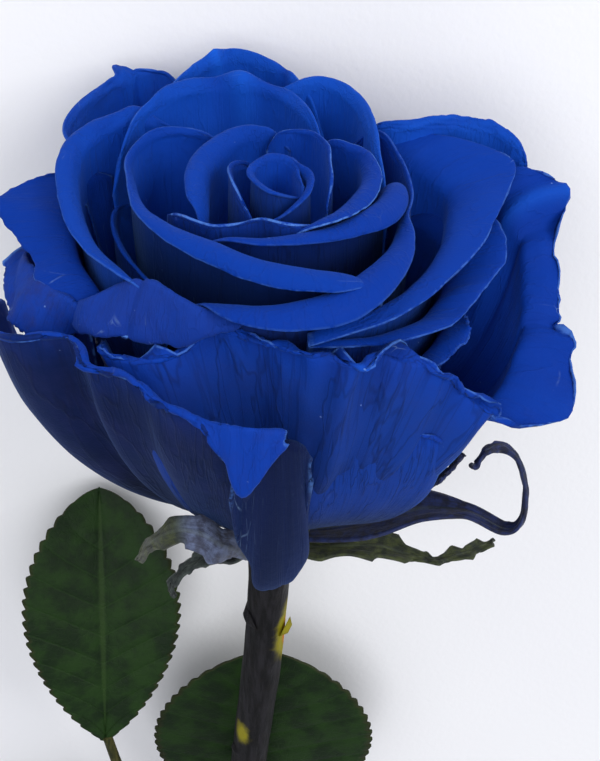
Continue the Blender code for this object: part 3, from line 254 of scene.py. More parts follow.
# %% The left guard petals
LEFT = [
    Petal("left_wing", [(-118, 23.4, 49), (-108, 24.6, 50), (-98, 25, 49.8), (-88, 24.6, 49.2),
        (-78, 24, 48.4), (-68, 23.2, 47.4), (-58, 22.4, 45.6)],
        margin=[(-109, 26, 51.6), (-101, 29.4, 52.2), (-94, 33.6, 51), (-89.5, 32.6, 49.8), (-81, 29.2, 48),
        (-72, 28.4, 46.8), (-61, 25, 45.8)],
        belly=2.6, top=-1.8, lip=(0.6, 1.4, 2, 2, 1.8, 1.4, 0.6), base=(4.5, 8.5)),
    Petal("left_under", [(-94, 29.6, 45), (-84, 29.8, 46.4), (-75, 28.4, 46.6), (-69, 27.4, 46.6),
        (-64, 26, 46.4), (-60, 24.8, 46)],
        margin=[(-86, 32.6, 45.4), (-77, 32.4, 44), (-71, 32.4, 42.6), (-67, 30.8, 42), (-64, 28, 42),
        (-60.5, 25.6, 42.6)],
        belly=2.4, top=-1.4, lip=(0.6, 0.9, 0.9, 0.9, 0.9, 0.6), base=(4.5, 6.5)),
    Petal("front_flap", [(-66, 24.6, 45.4), (-59, 24.6, 47.4), (-54, 21.8, 49.6), (-49, 20.6, 50.8),
        (-43, 19.6, 51.6), (-37, 19.4, 51.2), (-31, 19.4, 50.6), (-23, 19.2, 50), (-15, 18, 49.4),
        (-9, 16.8, 48)],
        margin=[(-62, 25.8, 43.6), (-56, 26, 44.2), (-51, 25, 44.8), (-46.5, 23.6, 45), (-41, 22.2, 45),
        (-35, 21.2, 45.2), (-29, 20.6, 46), (-21, 20, 47.8), (-14, 18.6, 48.6), (-8.4, 17, 48)],
        belly=0.4, top=-4, hang=1.2, lip=(0.5, 0.7, 0.8, 0.8, 0.8, 0.8, 0.7, 0.6, 0.4, 0.2), ruffle=0.2,
        base=(4.5, 9)),
    Petal("front_left_guard", [(-88, 33.6, 38.4), (-77, 35, 41), (-67, 34.6, 43), (-60, 32, 44.2),
        (-55, 28.4, 44.8), (-50, 27.8, 44.6), (-45, 29, 44.2), (-38, 27.6, 44.2), (-32, 27.2, 43.8),
        (-27, 28, 43.2), (-21, 28.2, 42.9), (-16, 28.4, 42.9), (-12, 28.7, 43), (-9, 28.9, 43.1),
        (-6, 29.1, 43.1), (-3, 29.1, 43), (0, 29, 42.8), (3, 28.8, 42.4)],
        margin=[(-88, 34.2, 39), (-77, 35.6, 41.6), (-67, 35.2, 43.6), (-60, 32.6, 44.8), (-55, 29, 45.4),
        (-50, 28.4, 45.2), (-45, 29.6, 44.8), (-38, 28.2, 44.8), (-32, 27.8, 44.4), (-27, 28.4, 43.6),
        (-20.6, 28.5, 43.2), (-15.6, 29, 42.6), (-12, 30, 40.6), (-8.8, 30.4, 38.2), (-6, 31, 34.9),
        (-3.2, 31, 36.9), (0, 30.2, 39.8), (2.6, 29.4, 41.8)],
        belly=-0.4, top=-0.8, hang=0.5, lip=(0.2,) * 10 + (0.3, 0.4, 0.5, 0.6, 0.6, 0.6, 0.5, 0.3),
        ruffle=0.2, waves=3, base=(4.5, 4.6)),
]
print("left:", len(LEFT), "petals")

# %% [markdown]
# ## The right guard petals
#
# At the right a broad guard petal stands behind the shoulders with a curled margin, and the front one shows
# its dark veined back. A long tip hangs over the stem.

# %% The right guard petals
RIGHT = [
    Petal("hanging_tip", [(-8, 27.6, 38), (-6.4, 28.2, 40), (-4.8, 28.5, 41), (-3, 28.7, 41.4),
        (-1.4, 28.8, 41.5), (0.4, 28.9, 41.5), (2, 29, 41.4), (3.8, 29, 41.2), (5.4, 29, 40.8),
        (7, 28.8, 40), (8.6, 28.4, 38)],
        margin=[(-10, 26.6, 30), (-9.8, 24, 22), (-9.2, 21.9, 17.2), (-5.4, 21.7, 13.4), (-4.2, 21.2, 9),
        (0, 20.8, 8.2), (4.4, 20.6, 8.6), (8.2, 20.7, 9.8), (11.4, 21.5, 14.6), (9.4, 23.2, 23),
        (9.2, 26.4, 33)],
        belly=-3.5, top=-1.4, hang=2.5, spread=0.6, lip=(0.3, 0.3) + (0.4,) * 7 + (0.3, 0.3), ruffle=0.1,
        base=(4.5, 5.6)),
    Petal("front_guard", [(-54, 23.8, 42.6), (-49, 26, 44), (-43, 26, 44.2), (-36, 24.2, 44.4),
        (-29, 21.6, 45), (-23, 19.4, 46.6), (-16, 18.6, 47.4), (-7, 18.6, 47), (2, 19.2, 46.6),
        (10, 20.6, 46.2), (17, 21.9, 45.8), (24, 22.6, 45.7), (31, 23.2, 45.4), (37, 24.4, 44.8),
        (43, 25.8, 43.6), (47.5, 27.2, 41.2), (51.5, 28.8, 38.4), (55.5, 30, 36.2), (58.5, 31.2, 34.4)],
        belly=(3.6,) * 5 + (3.4, 2.6, 1, -2.5, -6), gather=0.55,
        lip=(0.2,) + (0.5,) * 7 + (0.6,) * 9 + (0.5, 0.3), curl=0.8, turn=70, spread=0.3, ruffle=0.3,
        waves=4, base=(4.5, 6)),
    Petal("right_under", [(10, 19.6, 30), (20, 20.4, 31.6), (29, 22, 33), (36, 24, 33.8), (42, 26, 33.8),
        (46, 27.2, 32.8), (49, 27.4, 30.6)],
        belly=(2.4, 2.4, 2.2, 1.8, 1.4, 1), top=0.2, lip=(0.1, 0.4, 0.5, 0.5, 0.5, 0.4, 0.1), curl=0.9,
        turn=80, ruffle=0.2, spread=0.6, base=(4.5, 4.6)),
    Petal("right_guard", [(130, 24, 40), (121, 26, 43), (112, 28.4, 45), (108, 30.2, 45.2), (103, 31, 44),
        (98, 31, 42.2), (93, 31, 40.2), (89, 31, 38.6), (86, 31, 37.2), (82, 30.8, 35.4), (77, 30.2, 33.8),
        (71, 29.6, 32.6), (65, 28.8, 31.8), (60, 27.8, 31.2)],
        margin=[(128, 27.6, 46), (119, 30.6, 49), (112, 34, 50.6), (109, 38, 48.8), (105, 38.3, 46.4),
        (98, 35.6, 43.8), (93, 35.6, 41.8), (89, 35.6, 39.4), (86, 36.2, 37.6), (82.4, 38, 36.2),
        (80, 38.2, 34), (72, 38.6, 31), (65, 34.4, 31), (60, 30, 33)],
        top=-1.4, belly=(1,) * 6 + (0, -3, -5), gather=0.1, hang=0.3,
        lip=(2, 3, 4, 4, 3.4, 2.8, 2.4, 2.4, 2.4, 2.4, 2.2, 1.8, 1.4, 0.8), ruffle=0.2, waves=3,
        base=(4.5, 5.4)),
]
print("right:", len(RIGHT), "petals")

# %% [markdown]
# ## The petals it lies on
#
# The rest of the outer petals are out of sight in the photograph, because the flower lies on them. A real
# one has them all the same. They are pressed a little flat where they touch the surface.

# %% The petals it lies on
FLOOR = [
    Petal("floor_mid", [(150, 29, 46), (160, 32.6, 49), (172, 34.2, 50), (-176, 34.2, 50), (-164, 32.6, 49),
        (-154, 29, 46)],
        belly=2.2, top=-2, lip=(0.4, 2, 3.4, 3.4, 2, 0.4), curl=2.4, turn=110, ruffle=0.35, layer=0),
    Petal("floor_right", [(113, 34.4, 40), (120, 35.4, 44.6), (129, 35.6, 47.2), (140, 35, 48),
        (152, 33.4, 47), (162, 30, 44)],
        belly=2.4, top=-1.8, lip=(0.4, 2.4, 3.4, 3.2, 2.2, 0.4), curl=2.4, turn=115, ruffle=0.35,
        base=(4.5, 4.8), layer=2),
    Petal("floor_left", [(-96, 27.6, 40), (-106, 29.4, 43.4), (-119, 31.4, 46), (-133, 33.6, 47.4),
        (-148, 33.2, 47), (-160, 30, 43.6)],
        belly=2.4, top=-1.8, lip=(0.4, 1.8, 2.8, 3, 2.2, 0.4), curl=2.4, turn=115, ruffle=0.35,
        base=(4.5, 4.8), layer=1),
]
print("floor:", len(FLOOR), "petals")

# %% All the petals
WHORLS = dict(heart=HEART, rings=RINGS, shoulders=SHOULDERS, back=BACK, left=LEFT, right=RIGHT, floor=FLOOR)
PETALS = [petal for petals in WHORLS.values() for petal in petals]
print("the bloom has", len(PETALS), "petals")

# %% [markdown]
# ## From numbers to a surface
#
# A petal's surface is a function of two shares: u runs from one side edge to the other, and t from the foot
# to the margin. Up to the crest the petal follows a cubic curve in each column. After it the lip is an arc
# that rolls outwards. Writing it as a formula, and not pushing points about by hand, means the grid can be
# as fine as we like.

# %% Curves that the petals share
CREST = 0.72             # share of a petal's length below its crest; the rest is the rolled lip
LOW_REACH = 0.72         # how far out the body's lower handle lies, as a share of the way to the crest
LOW_TURN = 0.55          # how far round that handle lies, as a share of the way from foot to crest
HIGH_RISE = 0.66         # height of the body's upper handle, as a share of the petal's rise
HIGH_BELLY = 0.35        # how much of the belly that handle takes
LIP_SETTLE = 1.0         # radians of the lip's roll that lie between the crest and the seen rim
RUFFLE_FROM = 0.35       # share of a petal's length below which it has no waves
RUFFLE_GROWTH = 1.5      # how steeply they grow from there to the margin
RUFFLE_ORDERS = 5
RUFFLE_FALL = 0.8        # how fast the finer waves fade
RUFFLE_SLANT = 2.2       # how much the waves slant across the petal
STEP = 0.001             # share of a blade's width or length over which a slope is read


def unit(vectors):
    """The same directions at length 1."""
    return vectors / np.maximum(np.linalg.norm(vectors, axis=-1, keepdims=True), 1e-9)


def smooth_path(points, share):
    """A smooth curve through evenly spread points, read at shares from 0 to 1."""
    p = np.asarray(points, float).reshape(len(points), -1)
    spans = len(p) - 1
    place = np.clip(np.asarray(share, float) * spans, 0, spans)
    span = np.minimum(place.astype(int), spans - 1)
    f = (place - span)[:, None]
    ends = np.vstack([2 * p[:1] - p[1:2], p, 2 * p[-1:] - p[-2:-1]])
    a, b, c, d = ends[span], ends[span + 1], ends[span + 2], ends[span + 3]
    square = 2 * a - 5 * b + 4 * c - d
    cube = 3 * b - a - 3 * c + d
    return 0.5 * (2 * b + (c - a) * f + square * f**2 + cube * f**3)


def round_axis(angle, radius, height, centre=(0, 0)):
    """Points from their angle, radius and height about an upright axis."""
    turn = np.radians(angle)
    return np.stack([centre[0] + radius * np.sin(turn), centre[1] - radius * np.cos(turn), height], axis=-1)


def slope(path, share):
    """The direction of a smooth path at each share."""
    ahead = smooth_path(path, np.clip(share + STEP, 0, 1))
    return unit(ahead - smooth_path(path, np.clip(share - STEP, 0, 1)))


def normals(surface, u, t):
    """The way a surface faces at each u and t, from its slopes across and along."""
    right, left = np.clip(u + STEP, 0, 1), np.clip(u - STEP, 0, 1)
    over, under = np.clip(t + STEP, 0, 1), np.clip(t - STEP, 0, 1)
    return unit(np.cross(surface(right, t) - surface(left, t), surface(u, over) - surface(u, under)))


print("halfway through 0, 1 and 4 a smooth path is at", smooth_path((0, 1, 4), (0.5,))[0, 0])

# %% Two kinds of lip
def rolled_lip(petal, crest, upward, outward, width, run):
    """A lip that leaves the crest as an arc, which rolls outwards, and then runs straight on."""
    run = run * width
    bend = np.minimum(run / petal.curl, math.radians(petal.turn))
    rest = run - bend * petal.curl
    along_up = petal.curl * np.sin(bend) + rest * np.cos(bend)
    along_out = petal.curl * (1 - np.cos(bend)) + rest * np.sin(bend)
    return crest + along_up[:, None] * upward + along_out[:, None] * outward


def spread_lip(petal, u, crest, upward, width, run):
    """A wide lip, from the crest through two handles to the petal's margin."""
    rise = smooth_path(petal.lip, u)[:, 0]
    goal = smooth_path(round_axis(*np.array(petal.margin, float).T, petal.centre), u)
    goal = goal + unit(goal - crest) * (width - rise)[:, None]
    away = unit(goal * (1, 1, 0) - (*petal.centre, 0))
    first = crest + upward * rise[:, None]
    second = goal + away * petal.hang
    f = run[:, None]
    return crest * (1 - f)**3 + first * 3 * f * (1 - f)**2 + second * 3 * f**2 * (1 - f) + goal * f**3


print("wide lips:", [petal.name for petal in PETALS if petal.margin])

# %% [markdown]
# ## Creases, points and crinkles
#
# Drying leaves marks that the coarse solids can't carry: radial creases, small points on the margin,
# nibbled edges and a fine crinkle. The crinkle is a sum of slanted ridges whose sizes are real millimetres,
# so a wide petal gets more of them and not bigger ones. Each petal draws its ridges with its own seed.

# %% Finer detail on each petal
@dataclass
class Marks:
    """What only the finer petal has. Places along the rim are shares from 0 to 1."""
    points: tuple = ()       # place, length in mm and half width of each point on the margin
    creases: tuple = ()      # place, depth in mm, half width and slant of each crease
    crinkle: float = 0.1     # height of the crinkle in mm
    nibble: float = 0.12     # depth of the margin's irregular bites in mm
    dusty: float = 0.0       # how greyed and purple its dye is
    dark: float = 0.0        # painted shade on its outer side
    dull: float = 0.0        # painted shade on its inner side
    pale: float = 0.25       # how pale its margin dried
    shade: float = 0.0       # painted shade over the whole petal, and painted light where negative


# The inner petals' sides, and some outer ones below, get painted shade, and a negative shade paints light
# over a whole petal.
INNER = dict(crinkle=0.05, nibble=0.05, dark=0.8, pale=0.1)
MARKS = {
    "heart_core": Marks(**INNER, dull=0.5),
    "heart_fold": Marks(**INNER, shade=-0.14),
    "heart_wrap": Marks(**INNER, shade=-0.1),
    "heart_flap": Marks(crinkle=0.05, nibble=0.05, dark=0.6, pale=0.55),
    "inner_front": Marks(crinkle=0.06, nibble=0.1, dark=0.6, pale=0.65),
    "ring_left": Marks(**INNER, shade=-0.16),
    "ring_right": Marks(crinkle=0.06, nibble=0.08, dark=0.8, pale=0.5, shade=-0.1),
    "ring_fold": Marks(crinkle=0.06, nibble=0.1, dark=0.8, pale=0.8),
    "second_front": Marks(**INNER),
    "second_left": Marks(crinkle=0.07, dark=0.9, shade=-0.14),
    "second_back": Marks(creases=((0.45, -0.5, 0.03, 0.05), (0.52, 0.6, 0.03, 0.05),
        (0.6, -0.4, 0.04, 0.02)), crinkle=0.08, nibble=0.08, dark=0.6, pale=0.15, shade=-0.28),
    "second_right": Marks(crinkle=0.08, nibble=0.08, dark=0.7, pale=0.15, shade=-0.34),
    "third_right": Marks(crinkle=0.08, nibble=0.1, dark=0.8, pale=0.15),
    "third_left": Marks(crinkle=0.08, nibble=0.1, dark=0.9, pale=0.0, shade=-0.22),
    "third_left_outer": Marks(points=((0.18, 1.6, 0.04),), dark=0.6, pale=0.2, shade=-0.2),
    "fourth_right": Marks(nibble=0.1, dark=0.4, pale=0.35, shade=-0.12),
    "fifth_right": Marks(crinkle=0.12, nibble=0.2, dark=0.4, pale=0.3),
    "low_right_fold": Marks(crinkle=0.15, nibble=0.2, dark=0.5, pale=0.2),
    "back_left": Marks(points=((0.64, 4.6, 0.022), (0.6, 1.2, 0.06)), crinkle=0.14, dusty=0.35, pale=0.3,
        shade=-0.26),
    "back_top": Marks(creases=((0.42, 0.8, 0.02, 0.0), (0.72, -0.7, 0.03, 0.05)), nibble=0.2, pale=0.5,
        shade=-0.34),
    "back_right": Marks(crinkle=0.2, nibble=0.25, dark=0.2, pale=0.3, shade=-0.3),
    "left_wing": Marks(crinkle=0.12, nibble=0.3, dark=0.3, pale=0.5),
    "left_under": Marks(crinkle=0.3, nibble=0.3, dusty=0.9, dark=0.5, dull=0.6, pale=0.8),
    "front_flap": Marks(creases=((0.36, 0.5, 0.02, 0.1),), crinkle=0.22, nibble=0.2, dusty=0.3, dark=0.6,
        dull=0.75, pale=0.7),
    "front_left_guard": Marks(crinkle=0.34, nibble=0.25, dusty=0.3, dark=0.85, dull=0.25, pale=0.5),
    "hanging_tip": Marks(crinkle=0.3, nibble=0.15, dusty=0.1, dark=1.0, dull=1.0, pale=0.35, shade=0.65),
    "front_guard": Marks(creases=((0.56, -1.2, 0.03, -0.05), (0.62, 1.7, 0.026, -0.05),
        (0.7, -1.5, 0.035, -0.1), (0.79, 0.9, 0.03, 0.05), (0.86, -1.1, 0.03, 0.0)), crinkle=0.75,
        nibble=0.3, dusty=0.15, dark=0.1, dull=0.2, pale=0.4),
    "right_under": Marks(crinkle=0.32, dusty=0.2, pale=0.3),
    "right_guard": Marks(points=((0.63, -1.2, 0.014), (0.73, -0.8, 0.05)), creases=((0.26, 1.4, 0.03, 0.0),
        (0.34, -1.2, 0.025, 0.0), (0.64, -0.8, 0.02, 0.0)), crinkle=0.25, nibble=0.3, dusty=0.1, dark=0.1,
        pale=0.45, shade=-0.06),
}
PLAIN_MARKS = Marks()
print("marks are set for", len(MARKS), "of", len(PETALS), "petals")

# %% Bites and crinkles
CRINKLE_WAVES = 14
CRINKLE_SIZES = (3.0, 11.0)      # mm from ridge to ridge
CRINKLE_FROM = 0.3               # share of a petal's length below which it is smooth
CRINKLE_SLANT = 0.55             # radians by which the ridges' directions spread
CRINKLE_PATCHES = (0.9, 0.7)     # how fast a ridge comes and goes, across and along the petal
CRINKLE_GAIN = 0.6
CRINKLE_SEED = 1000              # keeps its random numbers apart from those of the waves
NIBBLE_ORDERS = (9, 15, 23, 37, 58)      # waves along the rim that add up to its bites
NIBBLE_GAIN = 1.2
NIBBLE_ENDS = 12                 # how soon the bites start from the rim's ends


def lip_width(petal, u):
    """Width of the rolled lip along the rim, with the margin's points and bites."""
    marks = MARKS.get(petal.name, PLAIN_MARKS)
    width = smooth_path(petal.lip, u)[:, 0]
    for place, length, half_width in marks.points:
        width = width + length * np.exp(-((u - place) / half_width)**2)
    random = np.random.default_rng(len(petal.name) + len(petal.rim))
    ends = np.minimum(1, NIBBLE_ENDS * u * (1 - u))
    for order in NIBBLE_ORDERS:
        bite = np.sin(order * math.pi * u + random.uniform(0, 6))
        width = width + marks.nibble * bite * NIBBLE_GAIN / order**0.5 * ends
    return np.maximum(width, 0)


def crinkle_height(petal, u, t, seed):
    """Ridges and creases as heights off the petal's smooth surface, in mm."""
    marks = MARKS.get(petal.name, PLAIN_MARKS)
    random = np.random.default_rng(CRINKLE_SEED + seed)
    rim = round_axis(*np.array(petal.rim, float).T)
    across = u * np.linalg.norm(np.diff(rim, axis=0), axis=1).sum()
    along = t * petal.rim[len(petal.rim) // 2][2]
    patch_across, patch_along = CRINKLE_PATCHES
    total = np.zeros(len(u))
    for size in np.geomspace(*CRINKLE_SIZES, CRINKLE_WAVES):
        slant = random.normal(0, CRINKLE_SLANT)
        ridge = across * math.cos(slant) + along * math.sin(slant)
        phase = 2 * math.pi * ridge / size + random.uniform(0, 6)
        turn = across / size * patch_across + along / size * patch_along
        patch = 0.5 + 0.5 * np.sin(turn + random.uniform(0, 6))
        total += (1 - 2 * np.abs(np.sin(phase / 2))) * patch * (size / CRINKLE_SIZES[1])
    fade = np.clip((t - CRINKLE_FROM) / (1 - CRINKLE_FROM), 0, 1)
    height = total * marks.crinkle * fade * CRINKLE_GAIN
    for place, depth, half_width, slant in marks.creases:
        height += depth * np.exp(-((u - place - slant * (1 - t)) / half_width)**2) * fade
    return height


print("ridges lie", CRINKLE_SIZES[0], "to", CRINKLE_SIZES[1], "mm apart")

# %% The petal's surface
def petal_points(petal, u, t):
    """Points of a petal's middle surface, for u from side to side and t from foot to margin."""
    rim = np.array(petal.rim, float)
    rim_angle = np.degrees(np.unwrap(np.radians(rim[:, 0])))
    rim_points = round_axis(rim_angle, rim[:, 1], rim[:, 2], petal.centre)
    crest = smooth_path(rim_points, u)
    width = lip_width(petal, u)

    # A rolled lip's rim is its top as it is seen, so the crest lies a little below and inside it.
    if not petal.margin:
        settle = np.minimum(width / petal.curl, LIP_SETTLE)
        inwards = unit(np.array(petal.centre) - crest[:, :2])
        crest[:, :2] += inwards * (petal.curl * (1 - np.cos(settle)))[:, None]
        crest[:, 2] -= petal.curl * np.sin(settle)
    sideways = slope(rim_points, u)

    # Each point stands over a foot that is narrower than the rim.
    angle = smooth_path(rim_angle, u)[:, 0]
    middle = smooth_path(rim_angle, [0.5])[0, 0]
    foot_angle = middle + (angle - middle) * petal.spread
    from_axis = crest[:, :2] - np.array(petal.centre)
    crest_radius = np.hypot(from_axis[:, 0], from_axis[:, 1])
    crest_angle = np.degrees(np.arctan2(from_axis[:, 0], -from_axis[:, 1]))
    crest_angle = angle + (crest_angle - angle + 180) % 360 - 180
    foot_radius, foot_height = petal.base
    rise = crest[:, 2] - foot_height

    # The body is a cubic curve from the foot, through two handles, to the crest.
    ones = np.ones(len(u))
    foot = round_axis(foot_angle, foot_radius * ones, foot_height * ones, petal.centre)
    belly = np.interp(u, np.linspace(0, 1, np.size(petal.belly)), np.ravel(petal.belly))
    low_radius = foot_radius + (crest_radius - foot_radius) * LOW_REACH + belly
    low_angle = foot_angle + (crest_angle - foot_angle) * LOW_TURN
    low = round_axis(low_angle, low_radius, foot_height + petal.low * rise, petal.centre)
    high_radius = crest_radius + petal.top + belly * HIGH_BELLY
    high_angle = crest_angle + (foot_angle - crest_angle) * petal.gather
    high = round_axis(high_angle, high_radius, foot_height + rise * HIGH_RISE, petal.centre)
    s = np.clip(t / CREST, 0, 1)[:, None]
    body = foot * (1 - s)**3 + low * 3 * s * (1 - s)**2 + high * 3 * s**2 * (1 - s) + crest * s**3

    # The lip goes on from there.
    upward = unit(crest - high)
    outward = np.cross(sideways, upward)
    facing = (outward[:, :2] * from_axis).sum(1)
    outward = unit(outward * np.where(facing < 0, -1.0, 1.0)[:, None])
    run = np.clip((t - CREST) / (1 - CREST), 0, 1)
    if petal.margin:
        lip = spread_lip(petal, u, crest, upward, width, run)
    else:
        lip = rolled_lip(petal, crest, upward, outward, width, run)
    return np.where(t[:, None] > CREST, lip, body)


tips = [petal_points(petal, np.array([0.5]), np.array([1.0]))[0] for petal in PETALS]
print("the middles of the margins lie", min(tip[2] for tip in tips).round(1), "to",
      max(tip[2] for tip in tips).round(1), "mm above the foot")

# %% The petal's waves
def ruffle_height(petal, u, t, seed):
    """Waves that grow towards the margin, as heights off the petal's smooth surface."""
    random = np.random.default_rng(seed)
    total = np.zeros(len(u))
    for order in range(1, RUFFLE_ORDERS + 1):
        first, second = random.uniform(0, 2 * math.pi, 2)
        across = np.sin(order * (petal.waves * math.pi * u + RUFFLE_SLANT * t) + first)
        total += across * np.cos(2 * order * t + second) / order**RUFFLE_FALL
    fade = np.clip((t - RUFFLE_FROM) / (1 - RUFFLE_FROM), 0, 1)**RUFFLE_GROWTH
    return total * fade * petal.ruffle


def ruffled_points(petal, u, t, seed):
    """The petal's surface with its waves."""
    def smooth(u, t):
        return petal_points(petal, u, t)

    return smooth(u, t) + normals(smooth, u, t) * ruffle_height(petal, u, t, seed)[:, None]


print("the waves of a petal add up from", RUFFLE_ORDERS, "orders")

# %% [markdown]
# ## Shader maths that reads as maths
#
# A material here is a formula over the surface, such as a vein's height or the paleness of a margin. One
# small class wraps a node's output, so that a formula on wires adds its Math nodes by itself. Another holds
# the material and adds any other node.

# %% Wires
class Wire:
    """One output of a node, with Python's operators."""

    def __init__(self, finish, socket):
        self.finish = finish
        self.socket = socket

    def math(self, operation, *values):
        return self.finish.node("ShaderNodeMath", {"operation": operation}, *values)

    def __add__(self, other):
        return self.math("ADD", self, other)

    def __sub__(self, other):
        return self.math("SUBTRACT", self, other)

    def __rsub__(self, other):
        return self.math("SUBTRACT", other, self)

    def __mul__(self, other):
        return self.math("MULTIPLY", self, other)

    __radd__ = __add__
    __rmul__ = __mul__

    def distance(self, other):
        """How far this is from the other, either way."""
        return self.math("ABSOLUTE", self - other)

    def rise(self, low, high):
        """0 below low, 1 above high, and smooth between; low over high turns it round."""
        settings = {"interpolation_type": "SMOOTHSTEP"}
        return self.finish.node("ShaderNodeMapRange", settings, self, low, high, 0.0, 1.0)


print("besides its operators a wire has", [name for name in vars(Wire) if "__" not in name])

# %% Paints and finishes
def paint(red, green, blue):
    """A screen colour, 0 to 255, as the linear colour that a shader needs."""
    shares = [value / 255 for value in (red, green, blue)]
    return [s / 12.92 if s <= 0.04045 else ((s + 0.055) / 1.055)**2.4 for s in shares] + [1.0]


class Finish:
    """A material under construction."""

    def __init__(self, name, **constants):
        self.material = bpy.data.materials.new(name)
        self.material.use_nodes = True
        self.tree = self.material.node_tree
        self.shader = self.tree.nodes["Principled BSDF"]
        for socket, value in constants.items():
            self.shader.inputs[socket.replace("_", " ")].default_value = value

    def give(self, socket, value):
        """Sets a node's input to a number, a colour or a wire."""
        if isinstance(value, Wire):
            self.tree.links.new(value.socket, socket)
        elif socket.type == "VALUE" or not isinstance(value, (int, float)):
            socket.default_value = value
        else:
            socket.default_value = [value] * len(socket.default_value)

    def node(self, kind, settings=None, *values, output=0, **named):
        """Adds any node: its settings first, then its inputs in order, with None to skip one, or by name."""
        node = self.tree.nodes.new(kind)
        for setting, value in (settings or {}).items():
            setattr(node, setting, value)
        for socket, value in zip(node.inputs, values):
            if value is not None:
                self.give(socket, value)
        for socket, value in named.items():
            self.give(node.inputs[socket.replace("_", " ")], value)
        return Wire(self, node.outputs[output])

    def blend(self, share, first, second):
        """A colour between two colours, on the two sockets that a Mix node keeps for colours."""
        settings = {"data_type": "RGBA", "blend_type": "MIX"}
        return self.node("ShaderNodeMix", settings, share, *[None] * 5, first, second, output=2)

    def coats(self, colour, *coats):
        """Lays paints over a colour, each with the share that it covers."""
        for share, coat in coats:
            colour = self.blend(share, colour, coat)
        return colour

    def shares(self):
        """The piece's own UV map as two wires, which run from 0 to 1 across and along it."""
        split = self.tree.nodes.new("ShaderNodeSeparateXYZ")
        self.give(split.inputs[0], self.node("ShaderNodeUVMap", {"uv_map": "UVMap"}))
        return Wire(self, split.outputs[0]), Wire(self, split.outputs[1])

    def place(self):
        """Object coordinates, in which a pattern keeps its real size."""
        return self.node("ShaderNodeTexCoord", output=3)

    def attribute(self, name):
        return self.node("ShaderNodeAttribute", {"attribute_name": name}, output=2)

    def noise(self, place, scale, detail=3.0, roughness=0.5):
        return self.node("ShaderNodeTexNoise", {"noise_dimensions": "3D"}, Vector=place, Scale=scale,
                         Detail=detail, Roughness=roughness)

    def finished(self, colour, roughness, height=None, relief=0.0003):
        """Feeds the shader; height from 0 to 1 stands relief metres high."""
        self.give(self.shader.inputs["Base Color"], colour)
        self.give(self.shader.inputs["Roughness"], roughness)
        if height is not None:
            bump = self.node("ShaderNodeBump", None, Strength=1.0, Distance=relief, Height=height)
            self.give(self.shader.inputs["Normal"], bump)
        return self.material


print("paint(15, 80, 210) is, for a shader,", [round(x, 3) for x in paint(15, 80, 210)])
